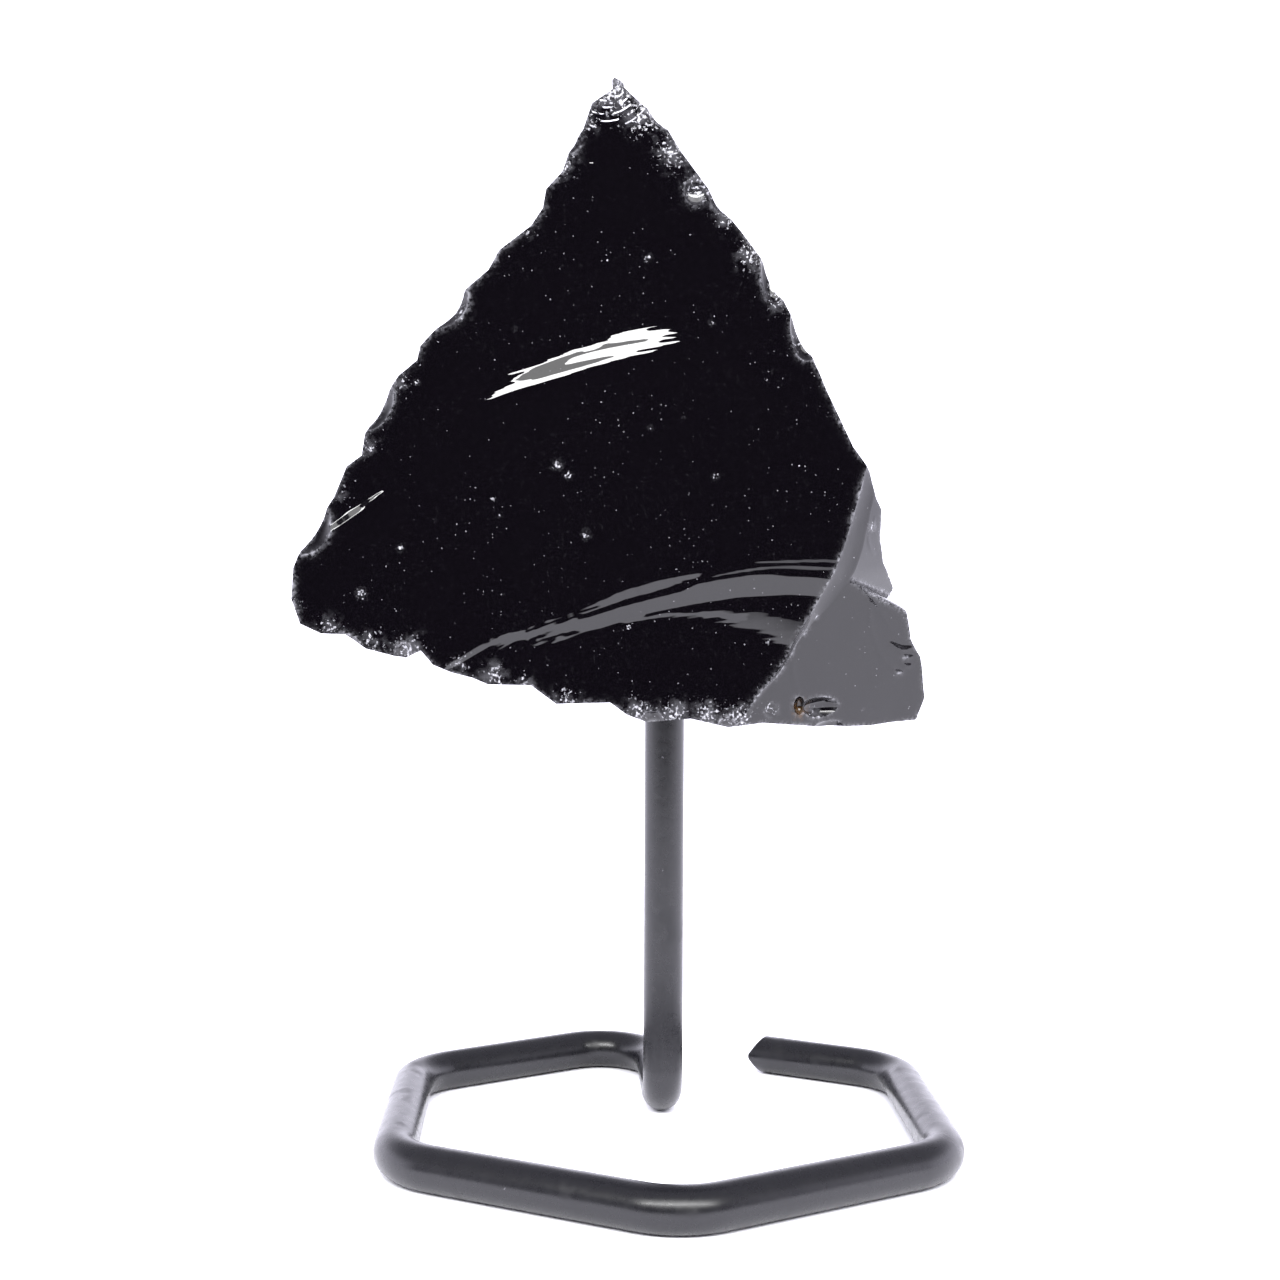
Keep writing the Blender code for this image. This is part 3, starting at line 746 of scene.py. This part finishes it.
print("cut", len(SCARS), "named scars, leaving", len(stone.data.polygons), "faces")

# %% Places along the outline
def outline_walk(points):
    """The closed outline's length, and a reader of the place and outward way at any distance along it."""
    ring = [Vector((x, 0, z)) for x, z in points]
    spans = [(b - a).length for a, b in zip(ring, ring[1:] + ring[:1])]

    def place_at(where):
        where %= sum(spans)
        for a, b, span in zip(ring, ring[1:] + ring[:1], spans):
            if where <= span:
                way = (b - a) / span
                return a + way * where, Vector((-way.z, 0, way.x))
            where -= span
        return ring[0], Vector((0, 0, -1))

    return sum(spans), place_at


# %% Chip the edges
CHIP_TRIES = 330
# No chip comes this near to the tip, which the top of the stone is measured from
TIP_KEPT = 3.0
round_length, place_at = outline_walk(OUTLINE)
chip_dice = random.Random(11)
made = 0
surface = surface_of(stone)
for chip in range(CHIP_TRIES):
    where = round_length * (chip + chip_dice.random()) / CHIP_TRIES
    place, outward = place_at(where)
    if (place - Vector((OUTLINE[0][0], 0, OUTLINE[0][1]))).length < TIP_KEPT:
        continue
    crowded = place.z < 45 or place.z > 90
    if place.x > 10 and chip_dice.random() < 0.7:
        continue
    size = chip_dice.triangular(0.35, 2.3, 0.6) * (1.0 if crowded else 0.8)
    if place.x > 10:
        size = min(size, 0.9)
    from_front = chip_dice.random() < 0.5
    if from_front and place.x > 8 and place.z < 62:
        continue
    offset = size * chip_dice.uniform(0.15, 0.5)
    spot = place + outward * offset + Vector((0, -40 if from_front else 40, 0))
    lean_in = -outward * chip_dice.uniform(0.25, 0.8)
    aim = Vector((0, 1 if from_front else -1, 0))
    radii = (size * chip_dice.uniform(0.8, 1.6), size, size * chip_dice.uniform(0.45, 0.8))
    hit, normal, _, _ = surface.ray_cast(spot, aim)
    if hit is None:
        continue
    up = (normal + lean_in).normalized()
    turn = up.to_track_quat("Z", "Y") @ Matrix.Rotation(chip_dice.uniform(0, 6.28), 3, "Z").to_quaternion()
    depth = size * chip_dice.uniform(0.12, 0.3)
    centre = hit + up * (radii[2] - depth)
    take_off(stone, squashed_ball("chip", centre, turn, radii, 3, ripple=0.015, seed=chip * 1.7))
    made += 1
print("chipped the edge", made, "times in", CHIP_TRIES, "tries, leaving", len(stone.data.polygons), "faces")

# %% [markdown]
# The stone was worked out upright, but the drilled hole is a touch off, so it hangs askew on its post by
# about half a degree. It is turned first, and the hole is drilled after that, because the post itself is
# plumb.

# %% Turn the stone
STONE_TURN = math.radians(-0.57)
STONE_PIVOT = (-2.3, 0.0, 47.4)
select_only(stone)
bpy.ops.object.mode_set(mode="EDIT")
bpy.ops.mesh.select_all(action="SELECT")
bpy.ops.transform.rotate(
    value=-STONE_TURN, orient_axis="Y", orient_type="GLOBAL", center_override=at(*STONE_PIVOT)
)
bpy.ops.object.mode_set(mode="OBJECT")
highest = max(v.co.z for v in stone.data.vertices)
print("stone turned, its tip is now at", round(highest * 1000, 2), "mm")

# %% The hole for the post
HOLE_RADIUS = 2.3
HOLE_TOP = 59.4
bpy.ops.object.select_all(action="DESELECT")
bpy.ops.mesh.primitive_cylinder_add(
    vertices=64, radius=HOLE_RADIUS * MM, depth=30 * MM, location=at(0, 0, HOLE_TOP - 15)
)
hole = bpy.context.object
hole.name = "post_hole"
settle(hole)
take_off(stone, hole)
print("hole drilled, leaving", len(stone.data.polygons), "faces, volume", round(volume_of(stone)), "mm3")

# %% [markdown]
# A crushed edge is white, because the glass there is full of tiny cracks, and powder stays in them. The
# material needs to know where that is, so each point of the mesh gets two numbers: one is high at a sharp
# edge and fades within a few tenths of a millimetre, the other is high in the places that the photo shows
# battered.

# %% Mark the crushed edges
CRUSH_REACH = 0.12
select_only(stone)
bpy.ops.object.shade_smooth_by_angle(angle=math.radians(28))
shape = bmesh.new()
shape.from_mesh(stone.data)
sharp_spots = []
for edge in shape.edges:
    if edge.calc_face_angle(0) > math.radians(34):
        a, b = (v.co / MM - POST_FOOT for v in edge.verts)
        steps = max(1, round((b - a).length / 0.2))
        sharp_spots += [a + (b - a) * i / steps for i in range(steps + 1)]
shape.free()
sharp_tree = KDTree(len(sharp_spots))
for i, spot in enumerate(sharp_spots):
    sharp_tree.insert(spot, i)
sharp_tree.balance()
# Where it was knocked about most, as seen from the front: x, z, reach and strength
BATTERED = [
    (-4.3, 97.2, 2.0, 1.0), (-1.6, 94.9, 1.7, 1.0), (1.0, 91.6, 1.6, 0.9), (3.4, 88.2, 1.5, 0.8),
    (5.6, 85.3, 1.2, 0.6), (-7.0, 94.6, 1.3, 0.7), (-9.2, 90.6, 1.4, 0.7), (8.0, 82.2, 1.5, 0.8),
    (10.6, 78.2, 1.4, 0.8), (12.6, 74.4, 1.2, 0.7), (15.6, 67.6, 0.8, 0.5), (-12.0, 84.6, 0.9, 0.5),
    (-18.6, 77.2, 1.1, 0.6), (-23.9, 71.0, 1.1, 0.6), (-27.2, 65.2, 1.2, 0.7), (-29.6, 60.8, 1.0, 0.5),
    (-33.0, 55.5, 1.0, 0.3), (-33.4, 50.6, 1.2, 0.4), (-30.3, 48.5, 1.2, 0.7), (-26.4, 47.3, 1.2, 0.6),
    (-23.0, 46.4, 1.5, 0.9), (-18.4, 45.0, 1.2, 0.6), (-15.6, 44.2, 1.2, 0.9), (-12.6, 43.4, 1.0, 0.8),
    (-9.0, 42.1, 1.2, 0.6), (-2.4, 40.9, 1.2, 0.9), (0.8, 40.6, 1.3, 1.0), (3.8, 40.5, 1.3, 1.0),
    (6.6, 40.4, 1.2, 1.0), (9.4, 41.0, 0.9, 0.6), (13.8, 40.4, 0.9, 0.5), (18.8, 40.5, 0.8, 0.4),
    (22.8, 41.2, 0.8, 0.5), (13.7, 49.4, 0.35, 0.8), (19.0, 57.6, 0.5, 0.7),
]
turn_back = Matrix.Rotation(-STONE_TURN, 3, "Y")


def worn_at(spot):
    """How crushed the glass is here, and how battered its neighbourhood is."""
    edge = math.exp(-sharp_tree.find(spot)[2] / CRUSH_REACH)
    seen = turn_back @ (spot - Vector(STONE_PIVOT)) + Vector(STONE_PIVOT)
    hurt = 0.0
    for x, z, reach, strength in BATTERED:
        away = math.hypot(seen.x - x, seen.z - z) / reach
        hurt = max(hurt, strength * math.exp(-away * away))
    hurt *= max(0.0, min(1.0, (-8 - seen.y) / 3))
    at_post = math.hypot(spot.x, spot.y) < 3.2
    return (0.0 if at_post else edge), hurt


crushed = stone.data.attributes.new("crushed", "FLOAT", "POINT")
battered = stone.data.attributes.new("battered", "FLOAT", "POINT")
for v in stone.data.vertices:
    crushed.data[v.index].value, battered.data[v.index].value = worn_at(v.co / MM - POST_FOOT)
print("marked", len(sharp_spots), "spots along sharp edges for", len(stone.data.vertices), "points")

# %% Let the stone stand for its solid
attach(stone, "root")
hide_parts("obsidian_chunk")

# %% [markdown]
# ## Materials
# Two finishes make the object. Both are built from nodes that read Object coordinates, in metres, so a
# pattern keeps its true size in millimetres wherever the piece stands. One function adds every node. Its
# inputs are plain values, another node's socket, or a whole node, which then stands for its first output.

# %% Helpers for materials
PER_MM = 1000.0


def linear(hex_text):
    """An sRGB hex colour as the linear colour that Blender works in."""
    parts = [int(hex_text[i : i + 2], 16) / 255 for i in (1, 3, 5)]
    return [p / 12.92 if p <= 0.04045 else ((p + 0.055) / 1.055) ** 2.4 for p in parts] + [1.0]


def add_node(tree, kind, inputs=None, **settings):
    """Add a shader node of this kind with its settings and inputs."""
    node = tree.nodes.new("ShaderNode" + kind)
    for name, value in settings.items():
        setattr(node, name, value)
    for name, value in (inputs or {}).items():
        if isinstance(value, bpy.types.Node):
            value = value.outputs[0]
        if isinstance(value, bpy.types.NodeSocket):
            tree.links.new(value, node.inputs[name])
        else:
            node.inputs[name].default_value = value
    return node


def new_material(name):
    material = bpy.data.materials.new(name)
    material.use_nodes = True
    material.node_tree.nodes.clear()
    return material, material.node_tree


def specks(tree, place, spacing_mm, radius_mm, share, stretch=(1.0, 1.0, 1.0), turned=0.0):
    """White dots, one in each chosen cell of a jumbled grid; a stretch draws them out to short scratches."""
    mapped = add_node(
        tree, "Mapping", {"Vector": place, "Scale": stretch, "Rotation": (0.0, turned, 0.0)}
    )
    cells = add_node(tree, "TexVoronoi", {"Vector": mapped, "Scale": PER_MM / spacing_mm})
    picked = add_node(tree, "SeparateColor", {"Color": cells.outputs["Color"]})
    radius = radius_mm / spacing_mm
    jitter = add_node(tree, "TexNoise", {"Vector": place, "Scale": 7.0 * PER_MM, "Detail": 2.0})
    jitter = add_node(tree, "Math", {0: jitter, 1: radius * 4.0}, operation="MULTIPLY")
    ragged = add_node(tree, "Math", {0: cells.outputs["Distance"], 1: jitter}, operation="ADD")
    reach = add_node(
        tree,
        "MapRange",
        {"Value": picked.outputs["Green"], "To Min": radius * 2.4, "To Max": radius * 3.2},
    )
    dot = add_node(tree, "Math", {0: ragged, 1: reach}, operation="LESS_THAN")
    chosen = add_node(tree, "Math", {0: picked.outputs["Red"], 1: share}, operation="LESS_THAN")
    return add_node(tree, "Math", {0: dot, 1: chosen}, operation="MULTIPLY")


# %% [markdown]
# Volcanic glass is a natural glass, black because it is full of iron and fine crystals, and its broken faces
# are as smooth as melted glass. The eye reads it by its mirror-like, colourless reflections over a body with
# almost no colour of its own. What is white on it is broken glass: dust, scratches and bruises on the faces,
# powder along the edges. These could be painted on an image, but masks made of noise keep their grain at any
# distance. Each mask runs from 0 to 1, and the strongest one at a spot wins.

# %% Dust, scratches and bruises
glass, tree = new_material("volcanic glass, conchoidal fracture")
place = add_node(tree, "TexCoord").outputs["Object"]
# The marks gather in clouds, where the stone was handled most
clouds = add_node(tree, "TexNoise", {"Vector": place, "Scale": 0.13 * PER_MM, "Detail": 3.0})
clouds = add_node(tree, "MapRange", {"Value": clouds, "From Min": 0.40, "From Max": 0.68})
# Spacing and size in millimetres, share of the cells where clean and in a cloud, stretch and turn, and the
# noise that breaks the mark up: how many to the millimetre, its range, and how white the mark is over that
# range
EVEN = (1.0, 1.0, 1.0)
MARKS = [
    ("dust", 0.42, 0.05, 0.10, 0.5, EVEN, 0.0, (2.0, 0.0, 1.0, 0.35, 0.35)),
    ("grains", 1.1, 0.075, 0.05, 0.26, EVEN, 0.0, (2.0, 0.0, 1.0, 0.8, 0.8)),
    ("small bruises", 3.1, 0.24, 0.03, 0.16, EVEN, 0.0, (5.5, 0.42, 0.56, 0.0, 1.0)),
    ("scratches", 1.7, 0.055, 0.04, 0.24, (1.0, 1.0, 0.16), 0.7, (2.0, 0.35, 0.65, 0.1, 0.8)),
    ("scrapes", 2.9, 0.06, 0.02, 0.12, (0.14, 1.0, 1.0), 0.35, (2.0, 0.35, 0.65, 0.1, 0.8)),
]
marks = 0.0
for _, spacing, radius, clean, dusty, stretch, turned, (per_mm, low, high, dim, bright) in MARKS:
    share = add_node(tree, "MapRange", {"Value": clouds, "To Min": clean, "To Max": dusty})
    dots = specks(tree, place, spacing, radius, share, stretch, turned)
    breaks = add_node(tree, "TexNoise", {"Vector": place, "Scale": per_mm * PER_MM, "Detail": 2.0})
    breaks = add_node(
        tree,
        "MapRange",
        {"Value": breaks, "From Min": low, "From Max": high, "To Min": dim, "To Max": bright},
    )
    dots = add_node(tree, "Math", {0: dots, 1: breaks}, operation="MULTIPLY")
    marks = add_node(tree, "Math", {0: marks, 1: dots}, operation="MAXIMUM")
fading = add_node(tree, "TexNoise", {"Vector": place, "Scale": 0.9 * PER_MM, "Detail": 3.0})
fading = add_node(
    tree,
    "MapRange",
    {"Value": fading, "From Min": 0.36, "From Max": 0.58, "To Min": 0.03, "To Max": 0.6},
)
marks = add_node(tree, "Math", {0: marks, 1: fading}, operation="MULTIPLY")
print("marks on the glass:", len(MARKS), "kinds")

# %% The larger bruises
# They stand out singly on the front: x, z and reach
BRUISES = [
    (-1.7, 82.0, 0.7), (-9.8, 63.1, 0.9), (-8.8, 62.2, 0.7), (4.5, 62.1, 0.8), (-7.2, 56.8, 0.8),
    (-27.5, 51.4, 0.9), (-24.0, 55.6, 0.6), (-13.8, 75.5, 0.6), (-1.4, 66.5, 0.5), (-22.6, 70.6, 0.5),
    (4.1, 76.0, 0.5), (-3.4, 75.7, 0.5), (1.6, 67.4, 0.4), (-15.0, 58.5, 0.4),
]
bruised = 0.0
for x, z, reach in BRUISES:
    away = add_node(
        tree, "VectorMath", {0: place, 1: at(x, face_depth(x, z), z)}, operation="DISTANCE"
    ).outputs["Value"]
    near = add_node(tree, "MapRange", {"Value": away, "From Min": reach * MM, "From Max": 0.0})
    bruised = add_node(tree, "Math", {0: bruised, 1: near}, operation="MAXIMUM")
shards = add_node(tree, "TexNoise", {"Vector": place, "Scale": 4.2 * PER_MM, "Detail": 3.0})
shards = add_node(tree, "Math", {0: shards, 1: 2.0}, operation="MULTIPLY")
bruised = add_node(tree, "Math", {0: bruised, 1: shards}, operation="ADD")
# White shards in the middle, and a faint haze round them
for low, high, bright in ((1.68, 2.0, 0.6), (1.25, 2.0, 0.03)):
    shown = add_node(
        tree, "MapRange", {"Value": bruised, "From Min": low, "From Max": high, "To Max": bright}
    )
    marks = add_node(tree, "Math", {0: marks, 1: shown}, operation="MAXIMUM")
print("larger bruises:", len(BRUISES))

# %% Crushed and battered glass
# Crushed edges are white flecks of about a tenth of a millimetre, in patches
crushed_here = add_node(tree, "Attribute", attribute_name="crushed").outputs["Fac"]
battered_here = add_node(tree, "Attribute", attribute_name="battered").outputs["Fac"]
rim = crushed_here
for per_mm, low, high, dim, bright in ((0.45, 0.42, 0.60, 0.25, 1.0), (3.2, 0.40, 0.62, 0.02, 0.3)):
    powder = add_node(tree, "TexNoise", {"Vector": place, "Scale": per_mm * PER_MM, "Detail": 2.0})
    powder = add_node(
        tree,
        "MapRange",
        {"Value": powder, "From Min": low, "From Max": high, "To Min": dim, "To Max": bright},
    )
    rim = add_node(tree, "Math", {0: rim, 1: powder}, operation="MULTIPLY")
white = add_node(tree, "Math", {0: marks, 1: rim}, operation="MAXIMUM")

# Battered glass: how fine, how much it grows where it is battered, its range, how white, and where it is full
BATTERINGS = [
    ("grey haze broken into flakes", 1.1, 0.34, 0.58, 0.86, 0.06, 0.3),
    ("flecks that crowd together", 3.6, 0.22, 0.68, 0.86, 0.7, 0.4),
]
for _, per_mm, growth, low, high, bright, full in BATTERINGS:
    flakes = add_node(tree, "TexNoise", {"Vector": place, "Scale": per_mm * PER_MM, "Detail": 4.0})
    grown = add_node(tree, "Math", {0: battered_here, 1: growth}, operation="MULTIPLY")
    flakes = add_node(tree, "Math", {0: flakes, 1: grown}, operation="ADD")
    flakes = add_node(
        tree, "MapRange", {"Value": flakes, "From Min": low, "From Max": high, "To Max": bright}
    )
    within = add_node(tree, "MapRange", {"Value": battered_here, "From Min": 0.04, "From Max": full})
    flakes = add_node(tree, "Math", {0: flakes, 1: within}, operation="MULTIPLY")
    white = add_node(tree, "Math", {0: white, 1: flakes}, operation="MAXIMUM")

# %% The fan of crescents
# Below the tip a blow that didn't take left short white crescents, this far apart
CRESCENT_MM = 0.62
fan_reach = add_node(
    tree, "VectorMath", {0: place, 1: at(-5.6, -14.2, 98.3)}, operation="DISTANCE"
).outputs["Value"]
turns = add_node(
    tree, "Math", {0: fan_reach, 1: math.tau * PER_MM / CRESCENT_MM}, operation="MULTIPLY"
)
rings = add_node(tree, "Math", {0: turns}, operation="SINE")
fan = add_node(tree, "MapRange", {"Value": rings, "From Min": 0.72, "From Max": 0.9})
torn = add_node(tree, "TexNoise", {"Vector": place, "Scale": 1.2 * PER_MM, "Detail": 1.0})
# It starts a little way from the blow, dies out beyond it, and is torn in between
for value, low, high in ((fan_reach, 0.0012, 0.0018), (fan_reach, 0.0048, 0.0042), (torn, 0.50, 0.56)):
    inside = add_node(tree, "MapRange", {"Value": value, "From Min": low, "From Max": high})
    fan = add_node(tree, "Math", {0: fan, 1: inside}, operation="MULTIPLY")
white = add_node(tree, "Math", {0: white, 1: fan}, operation="MAXIMUM")

# %% The brown grain
# A mineral grain sits in the glass at the foot of the low break
grain = add_node(
    tree, "VectorMath", {0: place, 1: at(12.4, -12.2, 41.2)}, operation="DISTANCE"
).outputs["Value"]
lumps = add_node(tree, "TexNoise", {"Vector": place, "Scale": 1.6 * PER_MM, "Detail": 3.0})
lumps = add_node(tree, "Math", {0: lumps, 1: 1.2 * MM}, operation="MULTIPLY")
grain = add_node(tree, "Math", {0: grain, 1: lumps}, operation="ADD")
grain = add_node(tree, "MapRange", {"Value": grain, "From Min": 1.9 * MM, "From Max": 1.2 * MM})
veins = add_node(tree, "TexNoise", {"Vector": place, "Scale": 1.8 * PER_MM, "Detail": 3.0})
veins = add_node(tree, "MapRange", {"Value": veins, "From Min": 0.40, "From Max": 0.64})
grain = add_node(tree, "Math", {0: grain, 1: veins}, operation="MULTIPLY")

# %% Volcanic glass
body = add_node(
    tree, "MixRGB", {"Fac": grain, "Color1": linear("#050406"), "Color2": linear("#3a2813")}
)
skin = add_node(tree, "MixRGB", {"Fac": white, "Color1": body, "Color2": linear("#cfcfd4")})
gloss = add_node(tree, "TexNoise", {"Vector": place, "Scale": 0.12 * PER_MM, "Detail": 4.0})
gloss = add_node(
    tree,
    "MapRange",
    {"Value": gloss, "From Min": 0.3, "From Max": 0.7, "To Min": 0.02, "To Max": 0.05},
)
frosted = add_node(tree, "Math", {0: white, 1: 0.5}, operation="MULTIPLY")
rough = add_node(tree, "Math", {0: gloss, 1: frosted}, operation="ADD")
bump = add_node(tree, "Bump", {"Strength": 0.5, "Distance": 0.04 * MM, "Height": white})
shader = add_node(
    tree, "BsdfPrincipled", {"Base Color": skin, "Roughness": rough, "IOR": 1.5, "Normal": bump}
)
add_node(tree, "OutputMaterial", {"Surface": shader})
stone.data.materials.clear()
stone.data.materials.append(glass)
print(glass.name, "has", len(tree.nodes), "nodes")

# %% [markdown]
# The rod is mild steel with a black powder coat: polyester powder melted on in an oven. It leaves a thick,
# even, satin skin with a very fine orange-peel waviness, so highlights along the rod are broad and slightly
# soft. Nibs are specks of powder that didn't melt flat, and scuffs are where the coat has rubbed on a shelf.

# %% Black powder coat
coat, tree = new_material("black powder coat on mild steel, satin")
place = add_node(tree, "TexCoord").outputs["Object"]
peel = add_node(tree, "TexNoise", {"Vector": place, "Scale": 0.9 * PER_MM, "Detail": 2.0})
nibs = specks(tree, place, 1.6, 0.10, 0.10)
raised = add_node(tree, "Math", {0: nibs, 1: 0.6}, operation="MULTIPLY")
height = add_node(tree, "Math", {0: peel, 1: raised}, operation="ADD")
bump = add_node(tree, "Bump", {"Strength": 0.45, "Distance": 0.03 * MM, "Height": height})
paler = add_node(tree, "Math", {0: nibs, 1: 0.35}, operation="MULTIPLY")
skin = add_node(
    tree, "MixRGB", {"Fac": paler, "Color1": linear("#101013"), "Color2": linear("#8c8c92")}
)
satin = add_node(
    tree,
    "MapRange",
    {"Value": peel, "From Min": 0.3, "From Max": 0.7, "To Min": 0.25, "To Max": 0.31},
)
scuffs = add_node(tree, "TexNoise", {"Vector": place, "Scale": 0.35 * PER_MM, "Detail": 4.0})
scuffs = add_node(
    tree, "MapRange", {"Value": scuffs, "From Min": 0.60, "From Max": 0.72, "To Max": 0.12}
)
rough = add_node(tree, "Math", {0: satin, 1: scuffs}, operation="ADD")
shader = add_node(
    tree, "BsdfPrincipled", {"Base Color": skin, "Roughness": rough, "IOR": 1.5, "Normal": bump}
)
add_node(tree, "OutputMaterial", {"Surface": shader})
rod.data.materials.clear()
rod.data.materials.append(coat)
print(coat.name, "has", len(tree.nodes), "nodes")

# %% [markdown]
# ## Floor, light and camera
# The photo was taken on a white sweep under a large soft light. Glass shows its surroundings, so they are
# laid out on purpose: a white floor and pale walls all round, one dark card behind the camera that the flat
# front mirrors, and a long bright light above the camera that the upper ripple catches.

# %% Floor
# Painted dark reflection: to glossy rays only, the paper's white is dimmed to a fifth in front of the stone,
# where a real table's edge would be; seen directly and in diffuse light it stays white
PAINTED_REFLECTION_FADE_Y = (-0.34, -0.19)
bpy.ops.object.select_all(action="DESELECT")
bpy.ops.mesh.primitive_plane_add(size=6.0, location=(0, 0, 0))
floor = bpy.context.object
floor.name = "white_sweep"
paper, tree = new_material("white paper sweep with painted dark reflection")
place = add_node(tree, "TexCoord").outputs["Object"]
near = add_node(tree, "SeparateXYZ", {"Vector": place}).outputs["Y"]
ends = add_node(
    tree,
    "MapRange",
    {"Value": near, "From Min": PAINTED_REFLECTION_FADE_Y[0], "From Max": PAINTED_REFLECTION_FADE_Y[1], "To Min": 0.2},
    interpolation_type="SMOOTHSTEP",
)
# Painted dark reflection: glossy rays see the paper darkened towards the front, all other rays see it white
rays = add_node(tree, "LightPath").outputs["Is Glossy Ray"]
shown = add_node(tree, "Mix", {"Factor": rays, "A": 1.0, "B": ends}, data_type="FLOAT")
paper_white_with_painted_dark_reflection = add_node(
    tree, "MixRGB", {"Fac": shown, "Color1": linear("#000000"), "Color2": linear("#f4f4f6")}
)
shader = add_node(tree, "BsdfPrincipled", {"Base Color": paper_white_with_painted_dark_reflection, "Roughness": 0.9})
add_node(tree, "OutputMaterial", {"Surface": shader})
floor.data.materials.append(paper)
print("floor", [round(s, 1) for s in floor.dimensions[:2]], "m")

# %% Pale room
ROOM_BRIGHTNESS = 2.8
world = bpy.data.worlds.new("pale room")
world.use_nodes = True
bpy.context.scene.world = world
tree = world.node_tree
tree.nodes.clear()
way = add_node(tree, "TexCoord").outputs["Generated"]
parts = add_node(tree, "SeparateXYZ", {"Vector": way})
walls = add_node(
    tree,
    "MapRange",
    {"Value": parts.outputs["Z"], "From Min": 0.22, "From Max": 0.62, "To Min": 3.0, "To Max": 0.5},
    interpolation_type="SMOOTHSTEP",
)
dark_side = add_node(
    tree,
    "MapRange",
    {"Value": parts.outputs["Y"], "From Min": -0.5, "From Max": -0.2, "To Min": 0.1},
    interpolation_type="SMOOTHSTEP",
)
mirrored = add_node(tree, "Math", {0: walls, 1: dark_side}, operation="MULTIPLY")
rays = add_node(tree, "LightPath").outputs["Is Glossy Ray"]
strength = add_node(
    tree, "Mix", {"Factor": rays, "A": ROOM_BRIGHTNESS, "B": mirrored}, data_type="FLOAT"
)
sky = add_node(tree, "Background", {"Color": linear("#f2f0ff"), "Strength": strength})
add_node(tree, "OutputWorld", {"Surface": sky})
print("room brightness", ROOM_BRIGHTNESS)


# %% Lights
def soft_light(name, place, target, wide, tall, brightness):
    """An area light whose own surface has this brightness, where the floor is about 2.6."""
    lamp = bpy.data.lights.new(name, "AREA")
    lamp.shape = "RECTANGLE"
    lamp.size, lamp.size_y = wide, tall
    lamp.energy = brightness * math.pi * wide * tall
    light = bpy.data.objects.new(name, lamp)
    bpy.context.scene.collection.objects.link(light)
    light.location = place
    light.rotation_euler = (Vector(target) - Vector(place)).to_track_quat("-Z", "Y").to_euler()
    light.visible_camera = False
    print(name, round(lamp.energy, 2), "W")


stone_middle = at(0, -14, 72)
soft_light("streak_light", at(0, -588, 475), stone_middle, 1.0, 0.086, 30.0)
soft_light("upper_panel", at(0, -487, 590), stone_middle, 1.0, 0.215, 4.5)

# %% The dark card
bpy.ops.object.select_all(action="DESELECT")
bpy.ops.mesh.primitive_plane_add(size=1.0, location=at(0, -350, 134), rotation=(math.pi / 2, 0, 0))
card = bpy.context.object
card.name = "dark_card"
card.scale = (0.52, 0.27, 1)
settle(card)
felt, tree = new_material("black card")
shader = add_node(
    tree,
    "BsdfPrincipled",
    {"Base Color": linear("#020202"), "Roughness": 1.0, "Specular IOR Level": 0.0},
)
add_node(tree, "OutputMaterial", {"Surface": shader})
card.data.materials.append(felt)
card.visible_camera = False
card.visible_shadow = False
print("dark card", [round(s, 2) for s in card.dimensions], "m")

# %% Camera
CAMERA_DISTANCE_MM = 160.8
CAMERA_HEIGHT_MM = 47.43
lens = bpy.data.cameras.new("photo_camera")
lens.sensor_width = 36.0
lens.lens = 45.52
lens.clip_start = 0.005
camera = bpy.data.objects.new("photo_camera", lens)
bpy.context.scene.collection.objects.link(camera)
camera.location = at(0, -CAMERA_DISTANCE_MM, CAMERA_HEIGHT_MM)
camera.rotation_euler = [math.radians(turned) for turned in (89.975, -0.285, 0.883)]
bpy.context.scene.camera = camera
bpy.context.scene.view_settings.view_transform = "Standard"
bpy.context.scene.view_settings.look = "None"
print("camera at", [round(c, 4) for c in camera.location], "m")
